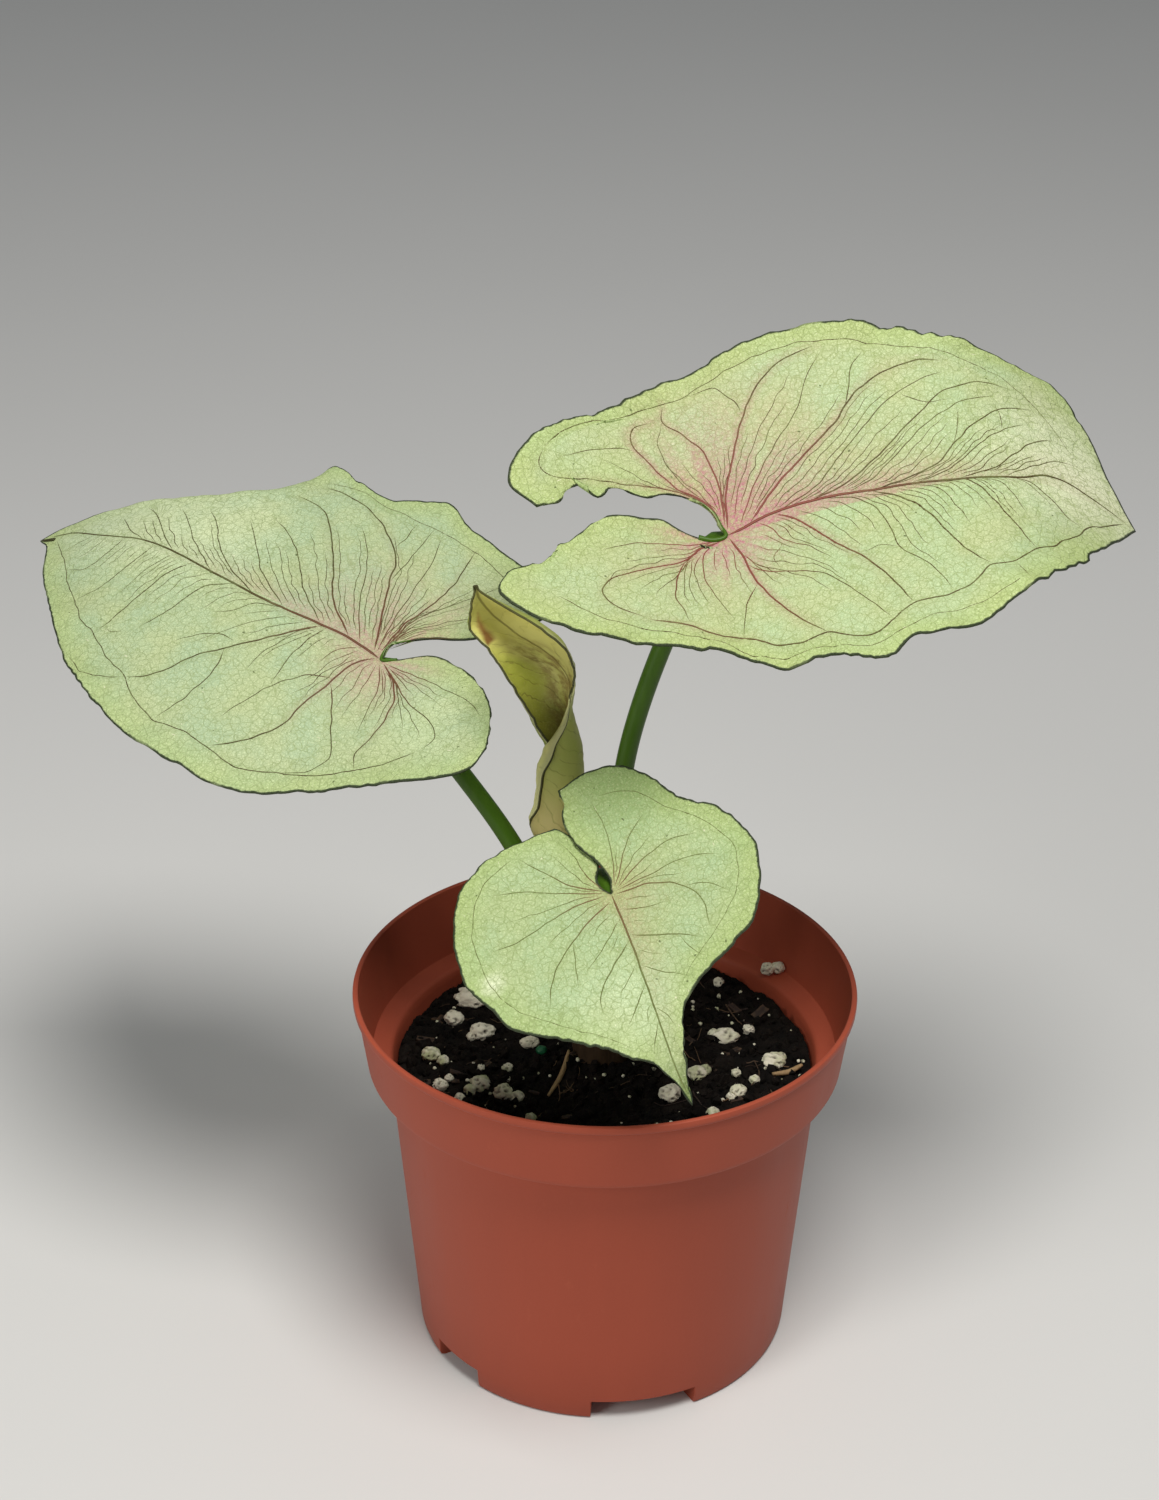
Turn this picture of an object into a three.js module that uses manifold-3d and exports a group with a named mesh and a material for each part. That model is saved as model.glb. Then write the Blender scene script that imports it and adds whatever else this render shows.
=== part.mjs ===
// Potted syngonium: three open heart-shaped leaves and one new leaf still rolled up,
// on petioles that rise from a short stem base in a plain plastic nursery pot.
// Millimetres, +Z up. The pot's axis is plantX, plantY, so that the whole plant's spread is centred.
import * as THREE from 'three';
import { mergeVertices } from 'three/addons/utils/BufferGeometryUtils.js';
import Module from 'manifold-3d';

const wasm = await Module();
wasm.setup();

const plantX = 9;
const plantY = -2;
const fitGap = 0.3;

// Pot: a moulded shell with a collar, a ledge under it and shallow feet
const potHeight = 82.5;
const rimRadius = 52.5;
const rimBead = 1.7;
const wall = 1.2;
const collarHeight = 16.2;
const collarFootRadius = 49.9;
const shoulderRadius = 45.4;
const baseRadius = 39.9;
const footHeight = 4.8;
const footDepth = 5.4;
const notches = [[-60.8, -41.2], [-3.7, 29.2], [119.2, 138.8], [176.3, 209.2]];
const drainHoleRadius = 3;
const drainRingRadius = 20;
const potSegments = 56;

// Soil: fills the pot to just under the ledge
const soilLevel = 63.4;
const soilMound = 3.2;

// Stem base and petioles
const stemTop = 75;
const stemSunk = 6;
const petioleFoot = 66;
const petioleFootRadius = 2.2;
const petioleRadius = 1.95;

// Leaves
const bladeThickness = 0.8;
const rolledThickness = 0.6;
const ribSlack = 0.25;

const degrees = THREE.MathUtils.degToRad;

// A small repeatable random source, one for each thing that uses it
function randomFrom(seed) {
  let state = seed >>> 0;
  return () => {
    state = (state + 0x6d2b79f5) >>> 0;
    let t = state;
    t = Math.imul(t ^ (t >>> 15), t | 1);
    t ^= t + Math.imul(t ^ (t >>> 7), t | 61);
    return ((t ^ (t >>> 14)) >>> 0) / 4294967296;
  };
}

function ramp(value, from, to) {
  return THREE.MathUtils.smoothstep(value, from, to);
}

// Closed geometry to solid and back, for joins and cuts
function solidOf(geometry) {
  const plain = new THREE.BufferGeometry();
  plain.setAttribute('position', geometry.getAttribute('position').clone());
  if (geometry.index) plain.setIndex(geometry.index.clone());
  const merged = mergeVertices(plain, 1e-4);
  const corners = merged.index.array;
  const kept = [];
  for (let i = 0; i < corners.length; i += 3) {
    const [a, b, c] = [corners[i], corners[i + 1], corners[i + 2]];
    if (a !== b && b !== c && c !== a) kept.push(a, b, c);
  }
  return new wasm.Manifold(new wasm.Mesh({
    numProp: 3,
    vertProperties: new Float32Array(merged.getAttribute('position').array),
    triVerts: new Uint32Array(kept),
  }));
}

function geometryOf(solid) {
  const mesh = solid.getMesh();
  const geometry = new THREE.BufferGeometry();
  const positions = new Float32Array(mesh.numVert * 3);
  for (let i = 0; i < mesh.numVert; i += 1) {
    for (let k = 0; k < 3; k += 1) positions[3 * i + k] = mesh.vertProperties[mesh.numProp * i + k];
  }
  geometry.setAttribute('position', new THREE.BufferAttribute(positions, 3));
  geometry.setIndex(new THREE.BufferAttribute(new Uint32Array(mesh.triVerts), 1));
  geometry.computeVertexNormals();
  return geometry;
}

// Turned shapes: profile points are [radius, height], from the axis back to the axis
function turned(profile, segments) {
  const points = profile.map(([r, z]) => new THREE.Vector2(r, z));
  return new THREE.LatheGeometry(points, segments).rotateX(Math.PI / 2);
}

// A sector of a ring, angles in degrees from the side that faces -Y towards +X
function ringSector(inner, outer, from, to, low, high) {
  const shape = new THREE.Shape();
  const start = degrees(from - 90);
  const end = degrees(to - 90);
  shape.absarc(0, 0, outer, start, end, false);
  shape.absarc(0, 0, inner, end, start, true);
  const geometry = new THREE.ExtrudeGeometry(shape, {
    depth: high - low, bevelEnabled: false, curveSegments: 8,
  });
  return geometry.translate(0, 0, low);
}

function upright(radius, low, high, x, y, sides) {
  const geometry = new THREE.CylinderGeometry(radius, radius, high - low, sides).rotateX(Math.PI / 2);
  return geometry.translate(x, y, (low + high) / 2);
}

function innerRadiusAt(z) {
  const t = z / (potHeight - collarHeight);
  return THREE.MathUtils.lerp(baseRadius, shoulderRadius, t) - wall;
}

function pot() {
  const underCollar = potHeight - collarHeight;
  const beadFoot = potHeight - rimBead;
  const collarTop = rimRadius - 0.75;
  const shoulderInside = innerRadiusAt(underCollar);
  const floorTop = footHeight + wall;
  const profile = [
    [0, 0],
    [baseRadius - 1.1, 0],
    [baseRadius - 0.3, 0.35],
    [baseRadius, 1.2],
    [shoulderRadius - 0.1, underCollar - 1],
    [shoulderRadius + 0.4, underCollar],
    [collarFootRadius - 0.7, underCollar],
    [collarFootRadius - 0.2, underCollar + 0.25],
    [collarFootRadius, underCollar + 0.8],
    [collarTop, beadFoot - 0.3],
    [rimRadius - 0.15, beadFoot],
    [rimRadius, beadFoot + 0.4],
    [rimRadius, potHeight - 0.4],
    [rimRadius - 0.35, potHeight],
    [rimRadius - 0.85, potHeight],
    [rimRadius - wall, potHeight - 0.5],
    [collarFootRadius - wall + 0.1, underCollar + 1.9],
    [collarFootRadius - wall - 0.5, underCollar + 1.3],
    [shoulderInside + 1.3, underCollar + 0.6],
    [shoulderInside + 0.35, underCollar - 0.2],
    [shoulderInside - 0.05, underCollar - 1.6],
    [innerRadiusAt(floorTop), floorTop],
    [0, floorTop],
  ];
  let solid = solidOf(turned(profile, potSegments));
  const underside = baseRadius - footDepth;
  solid = solid.subtract(solidOf(upright(underside, -1, footHeight, 0, 0, potSegments)));
  for (const [from, to] of notches) {
    const notch = ringSector(underside - 3, rimRadius, from, to, -1, footHeight);
    solid = solid.subtract(solidOf(notch));
  }
  // The feet are moulded hollow, open to the inside of the pot
  notches.forEach(([, to], i) => {
    const next = notches[(i + 1) % notches.length][0] + (i + 1 === notches.length ? 360 : 0);
    const side = THREE.MathUtils.radToDeg(wall / baseRadius);
    const outer = baseRadius - wall - 0.1;
    const pocket = ringSector(underside + wall, outer, to + side, next - side, wall, floorTop + 1);
    solid = solid.subtract(solidOf(pocket));
  });
  for (let i = 0; i < 5; i += 1) {
    const turn = degrees(72 * i);
    const x = drainRingRadius * Math.cos(turn);
    const y = drainRingRadius * Math.sin(turn);
    solid = solid.subtract(solidOf(upright(drainHoleRadius, footHeight - 1, floorTop + 1, x, y, 16)));
  }
  return solid;
}

// Uneven top of the soil: it rises a little round the stem base
function soilTop(x, y) {
  const mound = soilMound * Math.exp(-((x - 2) ** 2 + (y + 3) ** 2) / 260);
  const coarse = 0.5 * Math.sin(0.31 * x + 1.2) * Math.sin(0.27 * y - 0.6);
  const clods = 0.42 * Math.sin(0.83 * x - 0.35 * y + 0.4) * Math.sin(0.71 * y + 0.52 * x + 2.1);
  return soilLevel + mound + coarse + clods;
}

// A knobbly grain: a faceted ball pushed in and out by a seeded draw
function lump(x, y, z, width, depth, height, seed, detail = 1, grow = 0) {
  const random = randomFrom(seed);
  const ball = new THREE.IcosahedronGeometry(1, detail);
  ball.deleteAttribute('normal');
  ball.deleteAttribute('uv');
  const geometry = mergeVertices(ball);
  const position = geometry.getAttribute('position');
  for (let i = 0; i < position.count; i += 1) {
    const push = 0.82 + 0.26 * random();
    position.setXYZ(
      i,
      x + position.getX(i) * (push * width / 2 + grow),
      y + position.getY(i) * (push * depth / 2 + grow),
      z + position.getZ(i) * (push * height / 2 + grow),
    );
  }
  return solidOf(geometry);
}

// Larger perlite grains that lie loose on the soil: [x, y, width, depth, height, second knob]
const perliteGrains = [
  [-28.2, 21.2, 9.6, 6.4, 5.4, [3.4, 2.4, 4.6]],
  [-32.4, 14.4, 4.6, 4.2, 3.8, null],
  [-26.0, 9.2, 6.0, 4.6, 4.2, [-2.4, -1.4, 2.2]],
  [-36.6, 0.4, 4.6, 4.0, 3.6, [2.6, -2.0, 2.8]],
  [-34.2, -11.4, 3.6, 3.0, 3.2, null],
  [-25.8, -10.4, 4.8, 4.2, 4.0, [-2.2, -1.8, 3.0]],
  [-20.8, -14.8, 4.4, 4.0, 4.4, [2.8, -0.9, 3.2]],
  [-15.9, 4.2, 4.4, 3.0, 2.8, null],
  [31.0, 11.4, 3.2, 2.6, 2.6, null],
  [25.9, 7.4, 6.2, 4.2, 3.6, [-2.4, 0.8, 3.0]],
  [35.6, -1.6, 5.6, 4.6, 4.2, [1.6, 1.8, 3.0]],
  [19.4, -7.4, 4.4, 4.2, 3.8, [1.8, 2.0, 2.8]],
  [13.6, -15.2, 4.8, 4.4, 4.2, null],
  [27.8, -12.6, 3.8, 3.6, 3.2, [-1.6, -1.8, 2.2]],
];
const ledgeGrain = { radius: 46.35, turn: 127, rise: 2.7, width: 5.6, depth: 2.6, height: 3.4 };

function perliteGrain([x, y, width, depth, height, knob], index, grow = 0) {
  const z = soilTop(x, y) + 0.2 * height;
  let solid = lump(x, y, z, width, depth, height, 40 + index, 1, grow);
  if (knob) {
    const [dx, dy, size] = knob;
    solid = solid.add(lump(x + dx, y + dy, z - 0.1 * height, size, size, size, 80 + index, 0, grow));
  }
  return solid;
}

function grainOnLedge() {
  const { radius, turn, rise, width, depth, height } = ledgeGrain;
  const angle = degrees(turn - 90);
  const z = potHeight - collarHeight + rise;
  return lump(radius * Math.cos(angle), radius * Math.sin(angle), z, width, depth, height, 60);
}

// Small grains and crumbs, fused into the soil: [x, y, size]
const smallGrains = [
  [-32.5, -7.7, 2.4], [-29.9, -14.8, 2.8], [-20.4, -3.8, 2.6], [-25.9, -4.6, 1.9], [-39.2, 4.4, 1.8],
  [-15.1, -22.4, 2.6], [25.3, 29.2, 2.6], [27.6, -6.0, 2.4], [31.4, -8.6, 2.6], [33.6, -12.6, 2.0],
  [12.9, -6.9, 2.3], [22.1, -20.6, 3.2], [-20.3, -8.8, 1.6], [25.5, 24.3, 1.6], [24.4, 19.8, 1.6],
];
const crumbCount = 26;

function soil(carved) {
  const foot = footHeight + wall + fitGap;
  const edge = innerRadiusAt(soilLevel) - 0.35;
  const rings = [edge, 40.5, 36.5, 32, 27.5, 23, 18.5, 14, 9.5, 5];
  const profile = [[0, foot], [innerRadiusAt(foot) - 0.35, foot]];
  for (const r of rings) profile.push([r, soilLevel]);
  profile.push([0, soilLevel]);
  const disc = turned(profile, 40);
  const position = disc.getAttribute('position');
  for (let i = 0; i < position.count; i += 1) {
    if (position.getZ(i) > soilLevel - 1) position.setZ(i, soilTop(position.getX(i), position.getY(i)));
  }
  let solid = solidOf(disc);
  smallGrains.forEach(([x, y, size], i) => {
    solid = solid.add(lump(x, y, soilTop(x, y) + 0.15 * size, size, size, size, 200 + i, 0));
  });
  const random = randomFrom(7);
  for (let i = 0; i < crumbCount; i += 1) {
    const turn = 2 * Math.PI * random();
    const r = (edge - 3) * Math.sqrt(random());
    const size = 1.4 + 1.8 * random();
    const [x, y] = [r * Math.cos(turn), r * Math.sin(turn)];
    solid = solid.add(lump(x, y, soilTop(x, y), size * 1.4, size, size * 0.9, 300 + i, 0));
  }
  for (const other of carved) solid = solid.subtract(other);
  return largest(solid);
}

function largest(solid) {
  return solid.decompose().sort((a, b) => b.volume() - a.volume())[0];
}

// Round rod along a path, its radius given along the length
function rod(points, radiusAt, sides, steps) {
  const circle = new THREE.Shape();
  for (let k = 0; k < sides; k += 1) {
    const turn = 2 * Math.PI * k / sides;
    const [x, y] = [Math.cos(turn), Math.sin(turn)];
    if (k === 0) circle.moveTo(x, y);
    else circle.lineTo(x, y);
  }
  circle.closePath();
  const path = new THREE.CatmullRomCurve3(points, false, 'centripetal');
  const geometry = new THREE.ExtrudeGeometry(circle, { steps, bevelEnabled: false, extrudePath: path });
  const centres = path.getSpacedPoints(steps);
  const position = geometry.getAttribute('position');
  const corner = new THREE.Vector3();
  for (let i = 0; i < position.count; i += 1) {
    corner.fromBufferAttribute(position, i);
    let near = 0;
    for (let k = 1; k <= steps; k += 1) {
      if (corner.distanceTo(centres[k]) < corner.distanceTo(centres[near])) near = k;
    }
    corner.sub(centres[near]).multiplyScalar(radiusAt(near / steps)).add(centres[near]);
    position.setXYZ(i, corner.x, corner.y, corner.z);
  }
  return solidOf(geometry);
}

// A closed sheet over a grid of points. A fan's first row is the single point where it starts.
function sheet(pointAt, rows, columns, over, under, fan) {
  const top = [];
  const id = (i, j) => {
    if (!fan) return i * (columns + 1) + j;
    return i === 0 ? 0 : 1 + (i - 1) * (columns + 1) + j;
  };
  for (let i = 0; i <= rows; i += 1) {
    for (let j = 0; j <= (fan && i === 0 ? 0 : columns); j += 1) top.push(pointAt(i / rows, j / columns));
  }
  const faces = [];
  for (let i = 0; i < rows; i += 1) {
    for (let j = 0; j < columns; j += 1) {
      const [a, b, c, d] = [id(i, j), id(i + 1, j), id(i + 1, j + 1), id(i, j + 1)];
      faces.push([a, b, c]);
      if (a !== d) faces.push([a, c, d]);
    }
  }
  const normals = top.map(() => new THREE.Vector3());
  const [ab, ac] = [new THREE.Vector3(), new THREE.Vector3()];
  for (const [a, b, c] of faces) {
    ab.subVectors(top[b], top[a]);
    ac.subVectors(top[c], top[a]);
    const normal = ab.cross(ac);
    for (const k of [a, b, c]) normals[k].add(normal);
  }
  const edge = [];
  for (let i = 0; i < rows; i += 1) edge.push(id(i, 0));
  for (let j = 0; j < columns; j += 1) edge.push(id(rows, j));
  for (let i = rows; i > 0; i -= 1) edge.push(id(i, columns));
  if (!fan) for (let j = columns; j > 0; j -= 1) edge.push(id(0, j));
  const count = top.length;
  const positions = [];
  for (const side of [over, -under]) {
    top.forEach((p, k) => {
      const q = normals[k].clone().normalize().multiplyScalar(side).add(p);
      positions.push(q.x, q.y, q.z);
    });
  }
  const index = [];
  for (const [a, b, c] of faces) index.push(a, b, c, c + count, b + count, a + count);
  edge.forEach((p, k) => {
    const q = edge[(k + 1) % edge.length];
    index.push(q, p, p + count, q, p + count, q + count);
  });
  const geometry = new THREE.BufferGeometry();
  geometry.setAttribute('position', new THREE.Float32BufferAttribute(positions, 3));
  geometry.setIndex(index);
  return geometry;
}

// Open leaves. joint is where the petiole meets the blade; yaw, lift and roll (degrees) turn the blade,
// whose own x runs along the midrib to the tip and y to its left. Outlines are in that flat frame, from
// the joint along the notch between the lobes (sinus) and round the margin to the tip.
const leaves = {
  right: {
    joint: [22.6, 3, 182.9], yaw: 3.5, lift: 16.7, roll: 30.6,
    droop: 0.00096, tipDroop: 0.0266, lobeDroop: -0.0002, arch: 0.0006, fold: 0.21, lobeRise: 0.5,
    waves: 7, wave: 0.7, phase: 0.3,
    left: {
      sinus: [[0, 0], [-0.5, 2.5], [-1.1, 5.4], [-2.7, 7.6], [-6.4, 9.9], [-9.2, 10.3], [-12.6, 9.6],
        [-16.3, 11.3], [-18.6, 11.8], [-21.5, 10.1], [-23.7, 12.4], [-25.2, 12.3], [-29.2, 8.5], [-33, 8]],
      margin: [[-33, 8], [-37, 13.5], [-32, 22], [-24, 27], [-14, 30], [-4, 35], [6, 37], [20, 40],
        [35, 37.5], [49, 31.5], [63, 27], [71.5, 25], [75.5, 17], [77, 7], [79, -2]],
    },
    right: {
      sinus: [[0, 0], [-3.1, -0.4], [-5.3, 0.4], [-8.5, 2.6], [-10.8, 4.6], [-13.6, 5.1], [-18.3, 6],
        [-22.6, 5.1], [-25.9, 2.4], [-28.7, 0.3], [-32, -3], [-35.5, -5.3], [-41, -7.5]],
      margin: [[-41, -7.5], [-43, -13], [-35, -21], [-24, -26], [-13, -28], [-4, -31], [4, -36.5], [14, -37],
        [21, -40], [30, -37.5], [39, -38.5], [53, -31], [65, -21], [73, -11], [79, -2]],
    },
  },
  left: {
    joint: [-45.4, 12, 151.5], yaw: 147.7, lift: 17.7, roll: -21.4,
    droop: 0.003, tipDroop: 0.0027, lobeDroop: -0.0001, arch: 0.0017, fold: -0.06, lobeRise: 0.37,
    waves: 6, wave: 0.6, phase: 1.7,
    tuck: { curl: 0.2, line: 51, slope: 0.5, grows: [44, 56], fades: [84, 95] },
    left: {
      sinus: [[0, 0], [-3, -2], [-8, -6], [-14, -6], [-22, -3.5], [-29, 2], [-34, 10]],
      margin: [[-34, 10], [-34, 16], [-27, 22], [-16, 28], [-5, 35], [5, 40], [19, 42], [34, 41], [47, 37.5],
        [60, 31], [72, 22], [83, 13], [91, 4], [95, 2]],
    },
    right: {
      sinus: [[0, 0], [1, -4], [-4, -10], [-11, -13.5], [-16, -18], [-20, -23]],
      margin: [[-20, -23], [-21, -29], [-16, -34], [-8, -38], [2, -41], [10, -42], [18, -44.5], [28, -39],
        [37, -38.5], [45, -41], [51, -35], [58, -27.5], [68, -20.5], [78, -14], [88, -7], [95, 2]],
    },
  },
  front: {
    joint: [0.6, -32, 123.2], yaw: -71, lift: -23.8, roll: 19.1,
    droop: 0.0019, tipDroop: 0.001, lobeDroop: 0, arch: 0.0009, fold: 0.09, lobeRise: 0.1,
    waves: 5, wave: 0.5, phase: 2.6,
    left: {
      sinus: [[0, 0], [-3, 0.7], [-5.8, 0.1], [-8.4, -0.9], [-11.2, -2.4], [-14.5, -3.4], [-18.3, -3.7],
        [-22, -2.9], [-25.6, -2.6]],
      margin: [[-25.6, -2.6], [-27, 4], [-25, 11], [-20, 16], [-14, 19], [-9, 25], [-2, 29], [5, 29],
        [13, 26], [18, 22], [22, 15], [25, 9], [29, 5], [35, 3], [41, 1.2], [47, 0.3]],
    },
    right: {
      sinus: [[0, 0], [-1.9, -1.3], [-4, -2.1], [-7.8, -2.8], [-12, -3.5], [-14.6, -4.6], [-17.7, -6]],
      margin: [[-17.7, -6], [-17, -13], [-15, -21], [-10, -28], [-1, -31.5], [9, -32], [17, -28.5], [21, -27],
        [25, -20.5], [28, -16], [32, -10.5], [36, -5], [41, -1.5], [47, 0.3]],
    },
  },
};
const tipDroopFrom = 45;

function leafFrame(leaf) {
  const matrix = new THREE.Matrix4();
  const turn = new THREE.Euler(degrees(leaf.roll), -degrees(leaf.lift), degrees(leaf.yaw), 'ZYX');
  matrix.makeRotationFromEuler(turn);
  matrix.setPosition(...leaf.joint);
  return matrix;
}

// Height of the blade over its flat frame
function leafHeight(leaf, x, y) {
  const ahead = Math.max(x, 0);
  const behind = Math.min(x, 0);
  const beyond = Math.max(x - tipDroopFrom, 0);
  let z = -leaf.droop * ahead ** 2 - leaf.tipDroop * beyond ** 2 - leaf.lobeDroop * behind ** 2;
  z += -leaf.arch * y ** 2 + leaf.fold * (Math.hypot(y, 4) - 4) + leaf.lobeRise * (Math.hypot(behind, 4) - 4);
  if (leaf.tuck) {
    // The far margin curls under between the leaf's widest part and its tip
    const { curl, line, slope, grows, fades } = leaf.tuck;
    const past = Math.max(-y - (line - slope * x), 0) * ramp(x, ...grows) * (1 - ramp(x, ...fades));
    z -= curl * past ** 2;
  }
  return z;
}

function leafPoint(leaf, x, y, lift = 0) {
  return new THREE.Vector3(x, y, leafHeight(leaf, x, y) + lift).applyMatrix4(leafFrame(leaf));
}

function through(points) {
  return new THREE.CatmullRomCurve3(points.map(([x, y]) => new THREE.Vector3(x, y, 0)), false, 'centripetal');
}

// Each half of the blade is spread between its sinus, the midrib and its margin
function openBlade(leaf, over = 0, under = bladeThickness) {
  const frame = leafFrame(leaf);
  const halves = [leaf.right, leaf.left].map((half) => (
    { sinus: through(half.sinus), margin: through(half.margin) }));
  const tip = halves[0].margin.getPoint(1);
  const pointAt = (rho, across) => {
    const side = across < 0.5 ? 0 : 1;
    const { sinus, margin } = halves[side];
    const theta = 1 - Math.abs(2 * across - 1);
    const spread = rho ** 0.9;
    const p = margin.getPointAt(theta);
    p.addScaledVector(margin.getPointAt(0), theta - 1);
    p.addScaledVector(tip, -theta);
    p.multiplyScalar(spread);
    p.addScaledVector(sinus.getPointAt(spread), 1 - theta);
    p.addScaledVector(tip, theta * spread);
    const swing = 2 * Math.PI * leaf.waves * theta + leaf.phase + 2 * side;
    const ripple = Math.sin(swing) + 0.45 * Math.sin(2.3 * swing + 1);
    const z = leafHeight(leaf, p.x, p.y) + leaf.wave * ripple * rho ** 5 * Math.sin(Math.PI * theta) ** 0.5;
    return new THREE.Vector3(p.x, p.y, z).applyMatrix4(frame);
  };
  return sheet(pointAt, 6, 48, over, under, true);
}

// New leaf, rolled lengthwise: at each height a ring's centre, its radius and the turn of its two edges
const rolledAxisY = 8;
const rolledStations = [
  { z: 112, x: -11.4, radius: 2.9, from: -150, to: 205 },
  { z: 116.5, x: -10.4, radius: 4.8, from: -166, to: 240 },
  { z: 121, x: -9.7, radius: 4.8, from: -168, to: 250 },
  { z: 125, x: -9.2, radius: 4.2, from: -166, to: 248 },
  { z: 129.5, x: -8.8, radius: 3.8, from: -160, to: 240 },
  { z: 133.4, x: -8.7, radius: 3.5, from: -145, to: 232 },
  { z: 137.4, x: -10, radius: 3.9, from: -100, to: 222 },
  { z: 142.5, x: -11.8, radius: 4.5, from: -45, to: 210 },
  { z: 147.2, x: -12.8, radius: 5.9, from: -16, to: 200 },
  { z: 151.5, x: -14, radius: 7.3, from: -8, to: 195 },
  { z: 156, x: -16.3, radius: 7.8, from: -5, to: 190 },
  { z: 160, x: -19, radius: 6.8, from: 0, to: 185 },
  { z: 164, x: -23, radius: 3.4, from: 5, to: 180 },
  { z: 167, x: -24.9, radius: 1.6, from: 8, to: 175 },
  { z: 169.8, x: -26, radius: 0.35, from: 10, to: 170 },
];

function rolledBlade(over = 0, under = rolledThickness) {
  const track = (key) => new THREE.CatmullRomCurve3(
    rolledStations.map((station, i) => new THREE.Vector3(i, station[key], 0)), false, 'centripetal');
  const [x, z, radius, from, to] = ['x', 'z', 'radius', 'from', 'to'].map(track);
  const pointAt = (along, across) => {
    const turnDegrees = THREE.MathUtils.lerp(from.getPoint(along).y, to.getPoint(along).y, across);
    const lifted = 0.16 * ramp(-turnDegrees, 110, 160) - 0.2 * ramp(turnDegrees, 170, 205);
    const r = Math.max(radius.getPoint(along).y, 0.3) * (1 + lifted);
    const turn = degrees(turnDegrees);
    return new THREE.Vector3(
      x.getPoint(along).y + r * Math.cos(turn),
      rolledAxisY + r * Math.sin(turn),
      z.getPoint(along).y,
    );
  };
  return sheet(pointAt, 23, 18, over, under, false);
}

// Petioles: from the stem base to the blade, ending as the thick rib under it
const petiolePaths = {
  right: {
    start: [3.4, 0.5], via: [[3.2, 2, 100], [3.5, 3, 131.3], [11, 5, 158.4], [17, 6.5, 171]],
    bend: [[-3.2, 2.6, -4.9]],
  },
  left: {
    start: [-3.4, 0.2], via: [[-8.4, 2.2, 88], [-18.4, 4.6, 111.6], [-30, 8, 128.4]],
    bend: [[-8, 1, -9.5], [-3, -3, -4.9]],
  },
  front: {
    start: [0.1, -3.4], via: [[0.2, -8.5, 86], [-0.6, -14.5, 107]],
    bend: [[-9, -0.9, -7.6], [-5, -0.5, -4.2]],
  },
};

function petiole(name, grow = 0) {
  const { start, via, bend } = petiolePaths[name];
  const leaf = leaves[name];
  const points = [new THREE.Vector3(...start, petioleFoot), ...via.map((p) => new THREE.Vector3(...p))];
  const frame = leafFrame(leaf);
  for (const p of bend) points.push(new THREE.Vector3(...p).applyMatrix4(frame));
  // Under the blade the rod thins out along the midrib, always a gap below the blade's underside
  const ribEnd = name === 'front' ? 20 : 30;
  for (const [x, radius] of [[1, 1.75], [7, 1.3], [16, 0.85], [ribEnd, 0.5]]) {
    points.push(leafPoint(leaf, x, 0, -(bladeThickness + fitGap + radius + ribSlack)));
  }
  const length = new THREE.CatmullRomCurve3(points, false, 'centripetal').getLength();
  const radiusAt = (u) => {
    const left = (1 - u) * length;
    const stem = THREE.MathUtils.lerp(petioleFootRadius, petioleRadius, Math.min(u * 2, 1));
    const rib = THREE.MathUtils.lerp(0.5, 1.75, Math.min(left / ribEnd, 1));
    return Math.min(stem, THREE.MathUtils.lerp(rib, stem, ramp(left, ribEnd - 1, ribEnd + 6))) + grow;
  };
  return rod(points, radiusAt, 10, 26);
}

function newPetiole(grow = 0) {
  const points = [
    [-0.1, 3.5, petioleFoot], [-4.4, 5.8, 88], [-9.2, 7.6, 105],
    [-11.1, rolledAxisY, 112], [-10.3, rolledAxisY, 117], [-9.3, rolledAxisY, 125],
  ];
  return rod(points.map((p) => new THREE.Vector3(...p)), (u) => 2.1 - 0.9 * u + grow, 10, 14);
}

function stemBase(grow = 0) {
  const low = soilTop(0, 0) - stemSunk;
  const side = [
    [4, low - grow], [6, low + 1.5], [7.2, low + 5], [7.4, low + 8],
    [6.9, stemTop - 2.2], [6.1, stemTop - 0.6], [4.6, stemTop + grow],
  ].map(([r, z]) => [r + grow, z]);
  return solidOf(turned([[0, low - grow], ...side, [0, stemTop + grow]], 16));
}

// Loose bits on the soil: two slivers of bark and one green feed pellet
const slivers = [
  { ends: [[-11.6, -14.4, 0.2], [-7.4, -3.6, 1.4]], radius: 0.55 },
  { ends: [[35.2, -6.6, 0.6], [41.6, -3.2, 1.6]], radius: 0.5 },
];
const pellet = { x: -13.2, y: 0.2, size: 2.6 };

function sliver({ ends, radius }, grow = 0) {
  const points = ends.map(([x, y, rise]) => new THREE.Vector3(x, y, soilTop(x, y) + rise + radius * 0.4));
  const middle = points[0].clone().lerp(points[1], 0.5).add(new THREE.Vector3(0.5, -0.3, -0.3));
  const radiusAt = (u) => radius * (0.7 + 0.5 * Math.sin(Math.PI * u)) + grow;
  return rod([points[0], middle, points[1]], radiusAt, 6, 5);
}

function greenPellet(grow = 0) {
  const { x, y, size } = pellet;
  return lump(x, y, soilTop(x, y) + 0.2 * size, size, size, size * 0.8, 501, 1, grow);
}

const plant = new THREE.Group();

function place(name, shape, color, roughness) {
  const geometry = shape instanceof wasm.Manifold ? geometryOf(shape) : shape;
  const material = new THREE.MeshStandardMaterial({ color, roughness, metalness: 0 });
  const mesh = new THREE.Mesh(geometry, material);
  mesh.name = name;
  mesh.position.set(plantX, plantY, 0);
  plant.add(mesh);
}

const colours = {
  terracotta: 0x9e5343,
  peat: 0x1b140f,
  perlite: 0xe4dfd2,
  stalk: 0x35601f,
  sheath: 0x5a7a34,
  paleBlade: 0xc3dba2,
  youngBlade: 0xb9b566,
  straw: 0xa58555,
  pellet: 0x0e5c3f,
};

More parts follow.
